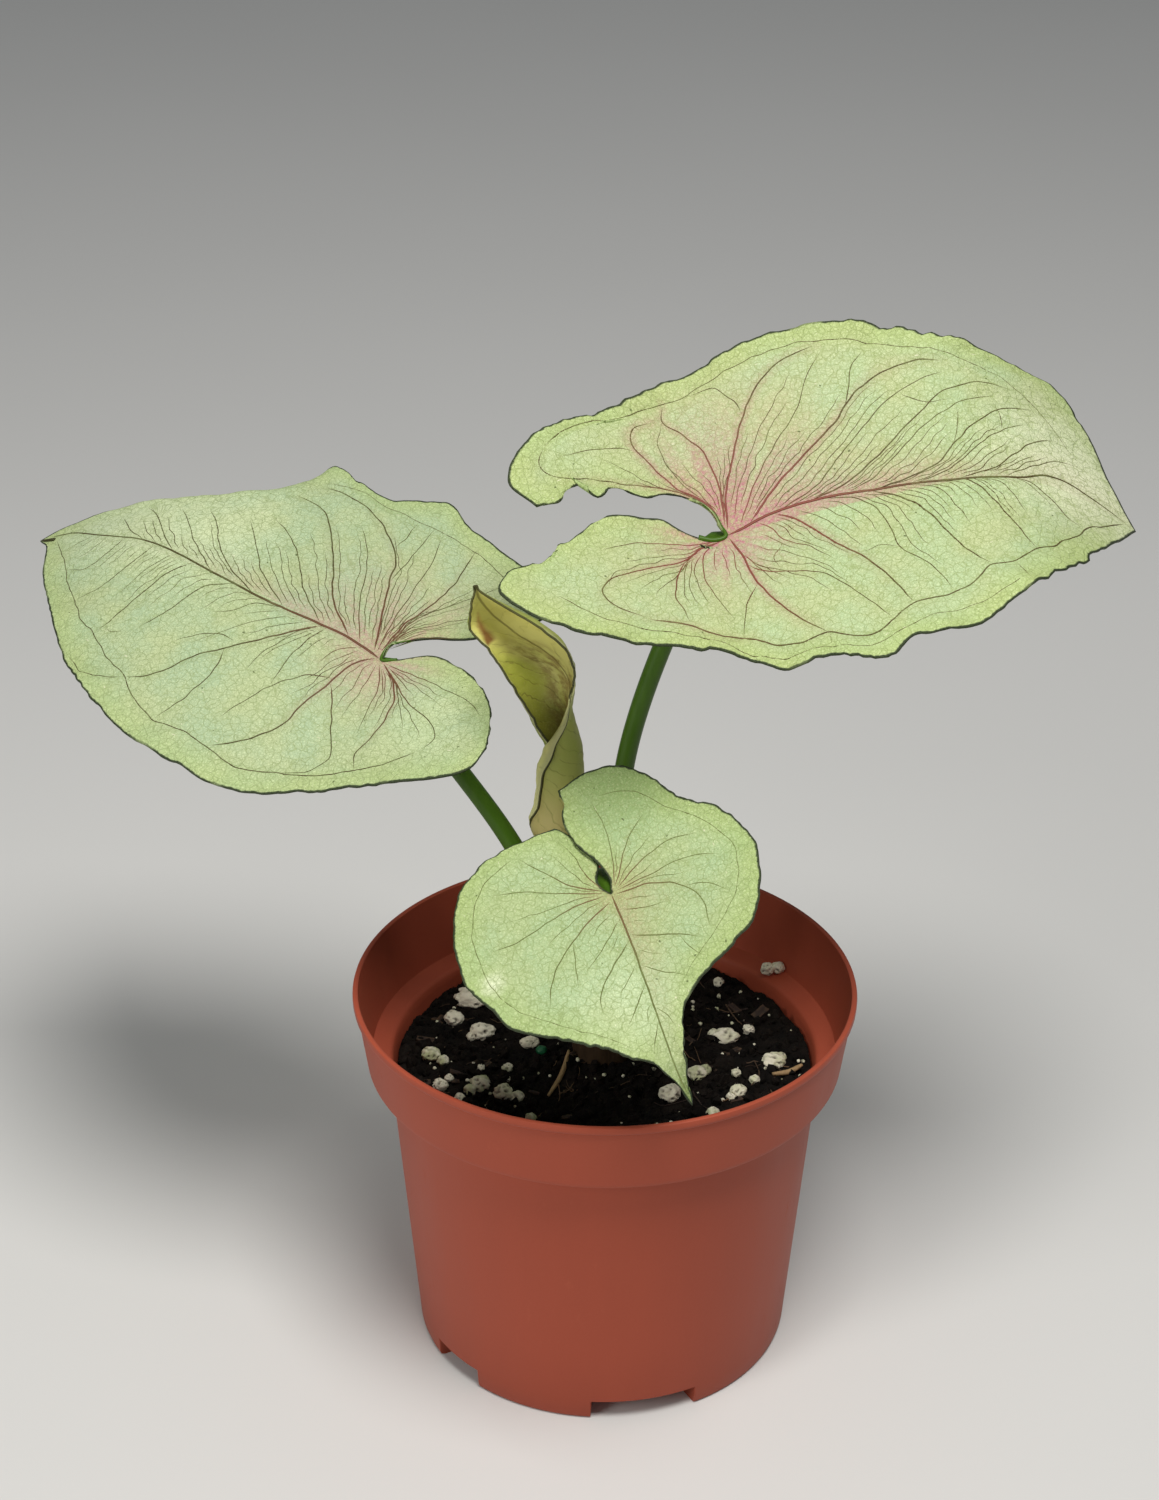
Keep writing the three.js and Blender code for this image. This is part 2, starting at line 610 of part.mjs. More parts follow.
const stalks = Object.keys(leaves);
const sockets = [...stalks.map((name) => petiole(name, fitGap)), newPetiole(fitGap)];
const grains = perliteGrains.map((grain, i) => perliteGrain(grain, i));
const carved = [
  stemBase(fitGap),
  ...perliteGrains.map((grain, i) => perliteGrain(grain, i, fitGap)),
  ...slivers.map((item) => sliver(item, fitGap)),
  greenPellet(fitGap),
];

place('pot', pot(), colours.terracotta, 0.45);
place('soil', soil(carved), colours.peat, 0.95);
place('stem_base', sockets.reduce((stem, socket) => stem.subtract(socket), stemBase()), colours.sheath, 0.6);
for (const name of stalks) {
  place(`petiole_${name}`, petiole(name), colours.stalk, 0.4);
  place(`blade_${name}`, openBlade(leaves[name]), colours.paleBlade, 0.5);
}
place('petiole_new', newPetiole(), colours.stalk, 0.4);
place('blade_new', rolledBlade(), colours.youngBlade, 0.5);
grains.forEach((grain, i) => place(`perlite_${String(i + 1).padStart(2, '0')}`, grain, colours.perlite, 0.9));
place('perlite_on_ledge', grainOnLedge(), colours.perlite, 0.9);
slivers.forEach((item, i) => place(`bark_sliver_${i + 1}`, sliver(item), colours.straw, 0.85));
place('feed_pellet', greenPellet(), colours.pellet, 0.5);

export default plant;
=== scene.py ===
# Potted syngonium: three open pale green leaves with pink veins and one leaf still rolled up,
# in a terracotta-coloured plastic nursery pot filled with dark peat mix. Lengths are in
# millimetres from the pot's axis, until a piece is placed; the scene itself is in metres.
import bisect
import math
import random

import bmesh
import bpy
from mathutils import Euler, Matrix, Vector, noise
from mathutils.bvhtree import BVHTree
from mathutils.kdtree import KDTree


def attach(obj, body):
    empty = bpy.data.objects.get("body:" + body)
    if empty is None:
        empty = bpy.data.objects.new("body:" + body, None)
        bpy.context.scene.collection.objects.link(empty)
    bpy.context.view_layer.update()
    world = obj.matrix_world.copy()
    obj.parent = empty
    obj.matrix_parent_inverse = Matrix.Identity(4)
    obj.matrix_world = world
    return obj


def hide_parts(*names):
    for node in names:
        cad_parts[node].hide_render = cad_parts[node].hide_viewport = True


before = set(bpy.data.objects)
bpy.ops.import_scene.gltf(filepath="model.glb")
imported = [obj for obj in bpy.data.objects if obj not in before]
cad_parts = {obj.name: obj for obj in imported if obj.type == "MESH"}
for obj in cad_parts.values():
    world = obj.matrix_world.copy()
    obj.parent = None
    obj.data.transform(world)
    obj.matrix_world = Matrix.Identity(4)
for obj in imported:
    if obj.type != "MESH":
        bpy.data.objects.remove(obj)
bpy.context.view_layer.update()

# Camera: it stands in front of the pot and looks down on it by 27.7 degrees, as the photo does.
# The lens is given for a 36 mm wide picture; the tilt is measured from straight down.
CAMERA_PLACE = (0.0035, -0.5201, 0.409)
CAMERA_TILT = 62.33
CAMERA_ROLL = 0.27
CAMERA_LENS = 90.96
camera_data = bpy.data.cameras.new("photo_camera")
camera_data.sensor_fit = "HORIZONTAL"
camera_data.sensor_width = 36
camera_data.lens = CAMERA_LENS
camera = bpy.data.objects.new("photo_camera", camera_data)
camera.matrix_world = (
    Matrix.Translation(CAMERA_PLACE)
    @ Matrix.Rotation(math.radians(CAMERA_TILT), 4, "X")
    @ Matrix.Rotation(math.radians(CAMERA_ROLL), 4, "Z")
)
bpy.context.scene.collection.objects.link(camera)
bpy.context.scene.camera = camera

# Studio: a plain pale floor under one large soft lamp above, a weaker one low on the left front,
# and an even grey surround.
world = bpy.data.worlds.new("studio")
world.use_nodes = True
world.node_tree.nodes["Background"].inputs["Color"].default_value = (0.9, 0.95, 1.0, 1)
world.node_tree.nodes["Background"].inputs["Strength"].default_value = 0.2
bpy.context.scene.world = world
bpy.context.scene.view_settings.view_transform = "Standard"


def soft_lamp(name, place, aim, size, power, tint):
    lamp = bpy.data.lights.new(name, "AREA")
    lamp.shape = "DISK"
    lamp.size = size
    lamp.energy = power
    lamp.color = tint
    stand = bpy.data.objects.new(name, lamp)
    away = Vector(place) - Vector(aim)
    stand.matrix_world = Matrix.Translation(place) @ away.to_track_quat("Z", "Y").to_matrix().to_4x4()
    bpy.context.scene.collection.objects.link(stand)


soft_lamp("lamp_above", (0.14, -0.38, 1.14), (0, 0, 0.1), 0.5, 11.8, (1, 0.985, 0.96))
soft_lamp("lamp_left", (-0.75, -0.7, 0.55), (0, 0, 0.08), 0.45, 4.0, (1, 0.98, 0.95))


def colour(tint):
    """A tint in 0 to 255 screen values, as a node takes it"""
    return (*(((c / 255 + 0.055) / 1.055) ** 2.4 if c > 10 else c / 3294.6 for c in tint), 1)


class Channel:
    """A value on its way through a finish. Arithmetic on it adds Math nodes."""

    def __init__(self, finish, socket):
        self.finish = finish
        self.socket = socket

    def math(self, operation, first, second=0.0):
        return self.finish.node("Math", {"operation": operation}, {0: first, 1: second})

    def __add__(self, other):
        return self.math("ADD", self, other)

    __radd__ = __add__

    def __sub__(self, other):
        return self.math("SUBTRACT", self, other)

    def __rsub__(self, other):
        return self.math("SUBTRACT", other, self)

    def __mul__(self, other):
        return self.math("MULTIPLY", self, other)

    __rmul__ = __mul__

    def __mod__(self, other):
        return self.math("FLOORED_MODULO", self, other)

    def __abs__(self):
        return self.math("ABSOLUTE", self)


class Finish:
    """One material, put together node by node round a Principled shader."""

    def __init__(self, name, **fixed):
        self.material = bpy.data.materials.new(name)
        self.material.use_nodes = True
        self.tree = self.material.node_tree
        self.shader = self.tree.nodes["Principled BSDF"]
        self.body = None
        for socket, value in fixed.items():
            self.shader.inputs[socket.replace("_", " ")].default_value = value

    def node(self, kind, settings=None, sockets=None, out=0):
        made = self.tree.nodes.new("ShaderNode" + kind)
        for key, value in (settings or {}).items():
            setattr(made, key, value)
        for key, value in (sockets or {}).items():
            self.feed(made.inputs[key], value)
        return Channel(self, made.outputs[out])

    def feed(self, socket, value):
        if isinstance(value, Channel):
            self.tree.links.new(value.socket, socket)
        else:
            socket.default_value = value

    def place(self):
        return self.node("TexCoord", out="Object")

    def part(self, vector, axis):
        return self.node("SeparateXYZ", None, {0: vector}, out=axis)

    def attribute(self, name, out="Fac"):
        return self.node("Attribute", {"attribute_name": name}, out=out)

    def mix(self, mask, low, high):
        """Goes from one tint to another; each is three screen values or an earlier mix"""
        low, high = (colour(tint) if isinstance(tint, tuple) else tint for tint in (low, high))
        return self.node("Mix", {"data_type": "RGBA"}, {0: mask, 6: low, 7: high}, out=2)

    def coat(self, mask, tint):
        """Lays a tint over the body colour where the mask lets it"""
        self.body = self.mix(mask, self.body, tint)

    def step(self, value, low, high, start=0.0, end=1.0):
        sockets = {"Value": value, "From Min": low, "From Max": high, "To Min": start, "To Max": end}
        return self.node("MapRange", {"interpolation_type": "SMOOTHSTEP"}, sockets)

    def grain(self, where, scale, detail=3.0, roughness=0.55):
        sockets = {"Vector": where, "Scale": scale, "Detail": detail, "Roughness": roughness}
        return self.node("TexNoise", None, sockets)

    def stretched(self, where, x, y, z):
        return self.node("VectorMath", {"operation": "MULTIPLY"}, {0: where, 1: (x, y, z)})

    def wear(self, roughness=None, relief=None, depth=0.0, distance=0.001):
        self.feed(self.shader.inputs["Base Color"], self.body)
        if roughness is not None:
            self.feed(self.shader.inputs["Roughness"], roughness)
        if relief is not None:
            bump = self.node("Bump", None, {"Strength": depth, "Distance": distance, "Height": relief})
            self.feed(self.shader.inputs["Normal"], bump)


floor_finish = Finish("studio_floor", Roughness=0.9)
floor_cloud = floor_finish.grain(floor_finish.place(), 3.0, 2.0)
floor_finish.body = floor_finish.mix(floor_cloud, (208, 207, 204), (213, 212, 209))
floor_finish.wear()
bm = bmesh.new()
bmesh.ops.create_grid(bm, x_segments=1, y_segments=1, size=4)
floor_mesh = bpy.data.meshes.new("studio_floor")
bm.to_mesh(floor_mesh)
bm.free()
floor_mesh.materials.append(floor_finish.material)
studio_floor = bpy.data.objects.new("studio_floor", floor_mesh)
bpy.context.scene.collection.objects.link(studio_floor)

# Pot: one shell of injection moulded polypropylene, satin terracotta colour, with a collar, a
# ledge inside it, and shallow feet with notches between them for drainage. It stands on its feet.
POT_AXIS = Vector((9, -2, 0))
POT_HEIGHT = 82.5
RIM_RADIUS = 52.5
RIM_BEAD = 1.7
WALL = 1.2
UNDER_COLLAR = POT_HEIGHT - 16.2
COLLAR_FOOT_RADIUS = 49.9
SHOULDER_RADIUS = 45.4
BASE_RADIUS = 39.9
FOOT_HEIGHT = 4.8
FOOT_DEPTH = 5.4
NOTCHES = ((-60.8, -41.2), (-3.7, 29.2), (119.2, 138.8), (176.3, 209.2))
WELD = 0.0005
DRAIN_HOLES = 5
DRAIN_HOLE_RADIUS = 3
DRAIN_RING_RADIUS = 20


def add_piece(name, bm, finishes, replaced=(), sharp=None):
    """Turns a bmesh in millimetres from the pot's axis into a piece that rides with the plant"""
    bm.transform(Matrix.Scale(0.001, 4) @ Matrix.Translation(POT_AXIS))
    mesh = bpy.data.meshes.new(name)
    bm.to_mesh(mesh)
    bm.free()
    for finish in finishes:
        mesh.materials.append(finish.material)
    mesh.shade_smooth()
    if sharp is not None:
        mesh.set_sharp_from_angle(angle=math.radians(sharp))
    made = bpy.data.objects.new(name, mesh)
    bpy.context.scene.collection.objects.link(made)
    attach(made, "root")
    if replaced:
        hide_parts(*replaced)
    return made


def pot_inside(z):
    return BASE_RADIUS + (SHOULDER_RADIUS - BASE_RADIUS) * z / UNDER_COLLAR - WALL


pot_collar_top = RIM_RADIUS - 0.75
pot_bead_foot = POT_HEIGHT - RIM_BEAD
pot_shoulder = pot_inside(UNDER_COLLAR)
pot_floor_top = FOOT_HEIGHT + WALL
pot_underside = BASE_RADIUS - FOOT_DEPTH
pot_corners = (
    (pot_underside, pot_floor_top, ((0, 0),)),
    (pot_underside, 0, ((0, FOOT_HEIGHT), (0, 0.3), (0.3, 0))),
    (BASE_RADIUS, 0, ((-1.1, 0), (-0.3, 0.35), (0, 1.2), (0.3, FOOT_HEIGHT + 0.05))),
    (SHOULDER_RADIUS, UNDER_COLLAR, ((-0.1, -1), (0, -0.3), (0.4, 0))),
    (COLLAR_FOOT_RADIUS, UNDER_COLLAR, ((-0.7, 0), (-0.25, 0.12), (-0.05, 0.5), (0.05, 1.2))),
    (pot_collar_top, pot_bead_foot, ((-0.05, -0.9), (0, -0.3))),
    (RIM_RADIUS, pot_bead_foot, ((-0.3, -0.1), (-0.05, 0.2), (0, 0.6))),
    (RIM_RADIUS, POT_HEIGHT, (
        (0, -0.5), (-0.1, -0.15), (-0.35, 0), (-0.85, 0), (-1.1, -0.15), (-WALL, -0.5))),
    (COLLAR_FOOT_RADIUS - WALL, UNDER_COLLAR, ((0.1, 1.9), (-0.05, 1.5), (-0.5, 1.3))),
    (pot_shoulder, UNDER_COLLAR, ((1.3, 0.6), (0.6, 0.3), (0.25, -0.3), (-0.05, -1.6))),
    (pot_inside(pot_floor_top), pot_floor_top, ((0, 0),)),
)
pot_profile = [(radius + out, z + up) for radius, z, bends in pot_corners for out, up in bends]
pot_turns = sorted(
    {2.0 * k for k in range(180)}
    | {(edge + shift) % 360 for start, end in NOTCHES for edge, inward in ((start, 0.35), (end, -0.35))
       for shift in (0, inward)}
)


def in_notch(turn):
    return any(0.3 < (turn - start) % 360 < (end - start) % 360 - 0.3 for start, end in NOTCHES)


def of_kind(kind, parts):
    return [part for part in parts if isinstance(part, kind)]


def once(parts):
    """The parts in the order they come, each once; a set's order would change from run to run"""
    return list(dict.fromkeys(parts))


def grid_line(place, count):
    """Which line of a grid of -1 to 1 a vertex lies on, counted from 0"""
    return round((place + 1) / 2 * count)


bm = bmesh.new()
ring_size = len(pot_profile)
pot_grid = bmesh.ops.create_grid(bm, x_segments=len(pot_turns), y_segments=ring_size, size=1)["verts"]
for v in pot_grid:
    turn = pot_turns[grid_line(v.co.x, len(pot_turns)) % len(pot_turns)]
    radius, z = pot_profile[grid_line(v.co.y, ring_size) % ring_size]
    if in_notch(turn):
        z = max(z, FOOT_HEIGHT)
    angle = math.radians(turn - 90)
    v.co = (radius * math.cos(angle), radius * math.sin(angle), z)
bmesh.ops.remove_doubles(bm, verts=bm.verts, dist=WELD)
bmesh.ops.recalc_face_normals(bm, faces=bm.faces)
floor_edges = []
floor_rings = [(0, 0, pot_underside + 0.2, 96)]
for hole in range(DRAIN_HOLES):
    angle = math.radians(360 / DRAIN_HOLES * hole)
    centre = DRAIN_RING_RADIUS * math.cos(angle), DRAIN_RING_RADIUS * math.sin(angle)
    floor_rings.append((*centre, DRAIN_HOLE_RADIUS, 32))
for x, y, radius, sides in floor_rings:
    place = Matrix.Translation((x, y, FOOT_HEIGHT))
    loop = bmesh.ops.create_circle(bm, segments=sides, radius=radius, matrix=place)["verts"]
    floor_edges += once(edge for v in loop for edge in v.link_edges)
floor_faces = bmesh.ops.triangle_fill(bm, edges=floor_edges, use_beauty=True)["geom"]
floor_faces = of_kind(bmesh.types.BMFace, floor_faces)
bmesh.ops.recalc_face_normals(bm, faces=floor_faces)
if floor_faces[0].normal.z > 0:
    bmesh.ops.reverse_faces(bm, faces=floor_faces)
raised = bmesh.ops.extrude_face_region(bm, geom=floor_faces, use_keep_orig=True)["geom"]
bmesh.ops.translate(bm, verts=of_kind(bmesh.types.BMVert, raised), vec=(0, 0, WALL))
bmesh.ops.reverse_faces(bm, faces=of_kind(bmesh.types.BMFace, raised))

terracotta = Finish("terracotta_plastic", IOR=1.49, Specular_IOR_Level=0.22)
pot_place = terracotta.place()
flow = terracotta.grain(terracotta.stretched(pot_place, 1, 1, 0.12), 120, 4.0)
speckle = terracotta.grain(pot_place, 1800, 2.0)
scuffs = terracotta.grain(terracotta.stretched(pot_place, 1, 1, 0.5), 260, 6.0, 0.7)
scuffs = terracotta.step(scuffs, 0.6, 0.78)
height_in_pot = terracotta.part(pot_place, "Z")
foot_dust = terracotta.step(height_in_pot, 0.0, 0.022, 1.0, 0.0) * terracotta.grain(pot_place, 90, 5.0)
terracotta.body = terracotta.mix(flow, (153, 69, 48), (163, 75, 53))
terracotta.coat(speckle * 0.25, (174, 86, 62))
terracotta.coat(scuffs * 0.2, (190, 106, 82))
terracotta.coat(foot_dust * 0.3, (104, 46, 30))
pot_relief = speckle * 0.35 + flow * 0.65
terracotta.wear(0.4 + flow * 0.14 + scuffs * 0.2, pot_relief, 0.12, 0.0003)
add_piece("pot_shell", bm, [terracotta], ["pot"], sharp=38)

# Soil: a moist, nearly black peat mix pressed in to just under the ledge. Its top is lumpy and
# rises a little round the stem base.
SOIL_LEVEL = 63.4
SOIL_MOUND = 3.2
SOIL_EDGE = 0.35
SOIL_SQUARES = 250


def soil_top(x, y):
    mound = SOIL_MOUND * math.exp(-((x - 2) ** 2 + (y + 3) ** 2) / 260)
    coarse = 0.5 * math.sin(0.31 * x + 1.2) * math.sin(0.27 * y - 0.6)
    clods = 0.42 * math.sin(0.83 * x - 0.35 * y + 0.4) * math.sin(0.71 * y + 0.52 * x + 2.1)
    return SOIL_LEVEL + mound + coarse + clods


def crumbly(x, y):
    """Height of the soil with its clods and crumbs"""
    where = Vector((x, y, 0))
    clods = noise.fractal(where * 0.28, 1.0, 2.1, 3)
    crumbs = noise.noise(where * 1.1) + 0.6 * noise.noise(where * 2.3)
    return soil_top(x, y) + 0.55 * clods + 0.38 * crumbs


soil_radius = pot_inside(SOIL_LEVEL) - SOIL_EDGE
bm = bmesh.new()
for v in bmesh.ops.create_grid(bm, x_segments=SOIL_SQUARES, y_segments=SOIL_SQUARES, size=1)["verts"]:
    x = soil_radius * v.co.x * math.sqrt(1 - v.co.y**2 / 2)
    y = soil_radius * v.co.y * math.sqrt(1 - v.co.x**2 / 2)
    v.co = (x, y, crumbly(x, y))
soil_rim = [edge for edge in bm.edges if edge.is_boundary]
soil_wall = bmesh.ops.extrude_edge_only(bm, edges=soil_rim)["geom"]
soil_foot = pot_floor_top + 0.3
foot_share = (pot_inside(soil_foot) - SOIL_EDGE) / soil_radius
for v in of_kind(bmesh.types.BMVert, soil_wall):
    v.co = (v.co.x * foot_share, v.co.y * foot_share, soil_foot)
bmesh.ops.contextual_create(bm, geom=of_kind(bmesh.types.BMEdge, soil_wall))
bmesh.ops.recalc_face_normals(bm, faces=bm.faces)

peat = Finish("moist_peat", IOR=1.4, Specular_IOR_Level=0.25)
soil_place = peat.place()
peat_clumps = peat.grain(soil_place, 260, 5.0)
peat_fines = peat.grain(soil_place, 1500, 4.0, 0.7)
peat.body = peat.mix(peat.step(peat_clumps, 0.35, 0.7), (10, 7, 5), (24, 17, 12))
peat.coat(peat.step(peat_fines, 0.62, 0.8) * 0.6, (72, 52, 36))
damp = peat.step(peat_clumps, 0.5, 0.75)
peat.wear(0.95 - damp * 0.35, peat_fines + peat_clumps * 0.5, 0.7, 0.0006)
add_piece("soil_mix", bm, [peat], ["soil"])

# Perlite: puffed white volcanic grains mixed into the soil. The large ones lie on it; some have
# a green film of algae. One has stuck to the ledge inside the pot.
LEDGE_GRAIN_RADIUS = 46.35
LEDGE_GRAIN_TURN = 127
LEDGE_GRAIN_RISE = 2.7
TINY_GRAINS = 150

# Each grain is its x and y, width, depth and height, a knob's offset and size, and its algae
PERLITE_GRAINS = (
    (-28.2, 21.2, 9.6, 6.4, 5.4, (3.4, 2.4, 4.6), 0.0), (-32.4, 14.4, 4.6, 4.2, 3.8, None, 0.0),
    (-26.0, 9.2, 6.0, 4.6, 4.2, (-2.4, -1.4, 2.2), 0.0),
    (-36.6, 0.4, 4.6, 4.0, 3.6, (2.6, -2.0, 2.8), 0.9),
    (-34.2, -11.4, 3.6, 3.0, 3.2, None, 0.1), (-25.8, -10.4, 4.8, 4.2, 4.0, (-2.2, -1.8, 3.0), 0.85),
    (-20.8, -14.8, 4.4, 4.0, 4.4, (2.8, -0.9, 3.2), 0.3), (-15.9, 4.2, 4.4, 3.0, 2.8, None, 0.2),
    (31.0, 11.4, 3.2, 2.6, 2.6, None, 0.1), (25.9, 7.4, 6.2, 4.2, 3.6, (-2.4, 0.8, 3.0), 0.35),
    (35.6, -1.6, 5.6, 4.6, 4.2, (1.6, 1.8, 3.0), 0.75),
    (19.4, -7.4, 4.4, 4.2, 3.8, (1.8, 2.0, 2.8), 0.8),
    (13.6, -15.2, 4.8, 4.4, 4.2, None, 0.15), (27.8, -12.6, 3.8, 3.6, 3.2, (-1.6, -1.8, 2.2), 0.45),
)

perlite = Finish("perlite_grain", IOR=1.5)
grain_place = perlite.place()
chalk = perlite.grain(grain_place, 700, 5.0, 0.65)
algae = perlite.attribute("algae") * perlite.step(perlite.grain(grain_place, 330, 3.0), 0.35, 0.6)
pits = perlite.node("TexVoronoi", None, {"Vector": grain_place, "Scale": 900.0}, out="Distance")
perlite.body = perlite.mix(chalk, (194, 186, 162), (252, 246, 226))
perlite.coat(algae * 0.75, (146, 158, 92))
perlite.coat(perlite.attribute("pit") * 0.8, (70, 62, 50))
perlite.wear(0.92, pits + chalk, 0.55, 0.0005)


def perlite_lump(bm, centre, size, seed, film, subdivisions=4):
    """A puffed grain: a ball with soft bulges and small open pits"""
    algae_film = bm.verts.layers.float.get("algae") or bm.verts.layers.float.new("algae")
    pit = bm.verts.layers.float.get("pit") or bm.verts.layers.float.new("pit")
    shift = Vector((seed * 7.3, seed * 3.1, seed * 5.7))
    for v in bmesh.ops.create_icosphere(bm, subdivisions=subdivisions, radius=1)["verts"]:
        bulge = 0.92 + 0.2 * noise.noise(v.co * 1.3 + shift) + 0.09 * noise.noise(v.co * 3.4 + shift)
        hole = max(0.0, noise.noise(v.co * 2.6 - shift) - 0.22) / 0.5
        v[pit] = min(1.0, 2.2 * hole)
        v[algae_film] = film
        reach = bulge - 0.55 * hole
        v.co = Vector(centre) + Vector(v.co[k] * reach * size[k] / 2 for k in range(3))


for number, (x, y, width, depth, height, knob, film) in enumerate(PERLITE_GRAINS):
    bm = bmesh.new()
    z = soil_top(x, y) + 0.2 * height
    perlite_lump(bm, (x, y, z), (width, depth, height), 3 + number, film)
    if knob:
        dx, dy, size = knob
        perlite_lump(bm, (x + dx, y + dy, z - 0.1 * height), (size, size, size), 30 + number, film, 3)
    label = f"{number + 1:02d}"
    add_piece(f"perlite_grain_{label}", bm, [perlite], [f"perlite_{label}"])

bm = bmesh.new()
ledge_turn = math.radians(LEDGE_GRAIN_TURN - 90)
ledge_spot = Vector((
    LEDGE_GRAIN_RADIUS * math.cos(ledge_turn), LEDGE_GRAIN_RADIUS * math.sin(ledge_turn),
    UNDER_COLLAR + LEDGE_GRAIN_RISE,
))
for side in (-1, 1):
    perlite_lump(bm, ledge_spot + side * 1.2 * Vector((1, 0.15, 0)), (3.3, 2.5, 3.2), 60 + side, 0.0)
add_piece("perlite_grain_on_ledge", bm, [perlite], ["perlite_on_ledge"])

SMALL_GRAINS = (
    (-32.5, -7.7, 2.4), (-29.9, -14.8, 2.8), (-20.4, -3.8, 2.6), (-25.9, -4.6, 1.9), (-39.2, 4.4, 1.8),
    (-15.1, -22.4, 2.6), (25.3, 29.2, 2.6), (27.6, -6.0, 2.4), (31.4, -8.6, 2.6), (33.6, -12.6, 2.0),
    (12.9, -6.9, 2.3), (22.1, -20.6, 3.2), (-20.3, -8.8, 1.6), (25.5, 24.3, 1.6), (24.4, 19.8, 1.6),
)
bm = bmesh.new()
for number, (x, y, size) in enumerate(SMALL_GRAINS):
    centre = (x, y, soil_top(x, y) + 0.22 * size)
    perlite_lump(bm, centre, (size, size, size * 0.9), 80 + number, (number % 3) * 0.4, 3)


def scattered(draw, clear):
    """A random place on the soil, clear of its rim by the given length"""
    turn, reach = draw.uniform(0, math.tau), (soil_radius - clear) * math.sqrt(draw.random())
    return reach * math.cos(turn), reach * math.sin(turn)


draw = random.Random(11)
for number in range(TINY_GRAINS):
    x, y = scattered(draw, 1.5)
    size = draw.uniform(0.35, 1.25)
    centre = (x, y, crumbly(x, y) + 0.1 * size)
    perlite_lump(bm, centre, (size, size, size), number, draw.random() * 0.8, 1)
add_piece("perlite_fines", bm, [perlite])

# Crumbs, fibres and bark chips: the coarse part of the peat mix, broken peat, dry roots and
# milled bark. They lie loose on its surface, up to the pot's wall.
CRUMBS = 2600
FIBRES = 110
BARK_CHIPS = 34


def lying(x, y, rise, turns):
    """Where a loose bit lies on the soil, turned about its own axes"""
    return Matrix.Translation((x, y, crumbly(x, y) + rise)) @ Euler(turns).to_matrix().to_4x4()


bm = bmesh.new()
draw = random.Random(5)
for _ in range(CRUMBS):
    x, y = scattered(draw, 0.8)
    size = 0.5 + 2.1 * draw.random() ** 3
    crumb = lying(x, y, 0.12 * size, [draw.uniform(0, 6) for _ in range(3)])
    stretch = Matrix.Diagonal((size * 0.65, size * 0.5, size * 0.4, 1))
    for v in bmesh.ops.create_icosphere(bm, subdivisions=1, radius=1, matrix=crumb @ stretch)["verts"]:
        v.co += Vector(draw.uniform(-0.14, 0.14) * size for _ in range(3))
add_piece("soil_crumbs", bm, [peat], sharp=50)

fibre = Finish("peat_fibre", Roughness=0.8)
fibre_streaks = fibre.grain(fibre.place(), 900, 3.0)
fibre.body = fibre.mix(fibre.attribute("tone"), (44, 27, 18), (128, 98, 66))
fibre.coat(fibre_streaks * 0.5, (24, 17, 12))
fibre.wear(None, fibre_streaks, 0.4, 0.0003)


def smooth_path(points, steps=16):
    """Points along the centripetal curve through the given ones, as the CAD source draws it"""
    points = [Vector(p) for p in points]
    ends = [2 * points[0] - points[1], *points, 2 * points[-1] - points[-2]]
    path = []
    for a, b, c, d in zip(ends, ends[1:], ends[2:], ends[3:]):
        ab, bc, cd = (max((q - p).length ** 0.5, 0.001) for p, q in ((a, b), (b, c), (c, d)))
        leave = ((b - a) / ab - (c - a) / (ab + bc) + (c - b) / bc) * bc
        arrive = ((c - b) / bc - (d - b) / (bc + cd) + (d - c) / cd) * bc
        for step in range(steps):
            t = step / steps
            bend = (3 * (c - b) - 2 * leave - arrive) * t**2 + (2 * (b - c) + leave + arrive) * t**3
            path.append(b + leave * t + bend)
    path.append(points[-1])
    return path


def rod(bm, centres, radii, sides):
    """A closed round rod round a line of centres, thinner or thicker by the given radii"""
    count = len(centres)
    side = (centres[1] - centres[0]).normalized().orthogonal().normalized()
    rings = []
    for k in range(count):
        along = (centres[min(k + 1, count - 1)] - centres[max(k - 1, 0)]).normalized()
        side = (side - side.dot(along) * along).normalized()
        rings.append((centres[k], radii[k] * side, radii[k] * along.cross(side)))
    made = bmesh.ops.create_grid(bm, x_segments=count - 1, y_segments=sides, size=1)["verts"]
    for v in made:
        centre, out, over = rings[grid_line(v.co.x, count - 1)]
        turn = math.pi * (v.co.y + 1)
        v.co = centre + out * math.cos(turn) + over * math.sin(turn)
    faces = once(face for v in made for face in v.link_faces)
    bmesh.ops.remove_doubles(bm, verts=made, dist=WELD)
    rims = once(edge for face in faces if face.is_valid for edge in face.edges if edge.is_boundary)
    ends = bmesh.ops.holes_fill(bm, edges=rims, sides=0)["faces"]
    body = [face for face in faces if face.is_valid] + ends
    bmesh.ops.recalc_face_normals(bm, faces=body)
    return body


bm = bmesh.new()
tone = bm.verts.layers.float.new("tone")
draw = random.Random(23)
for _ in range(FIBRES):
    spot = Vector((*scattered(draw, 4), 0))
    heading, curl, length = draw.uniform(0, math.tau), draw.uniform(-0.25, 0.25), draw.uniform(2, 9)
    line = []
    for _ in range(7):
        line.append(Vector((spot.x, spot.y, crumbly(spot.x, spot.y) + 0.25 + 0.3 * draw.random())))
        heading += curl
        spot = spot + Vector((math.cos(heading), math.sin(heading), 0)) * length / 6
        if spot.length > soil_radius - 1.5:
            break
    if len(line) < 4:
        continue
    thick = draw.uniform(0.07, 0.2)
    body = rod(bm, line, [thick * (1 - 0.5 * k / len(line)) for k in range(len(line))], 5)
    shade = draw.random() ** 2
    for v in once(v for face in body for v in face.verts):
        v[tone] = shade
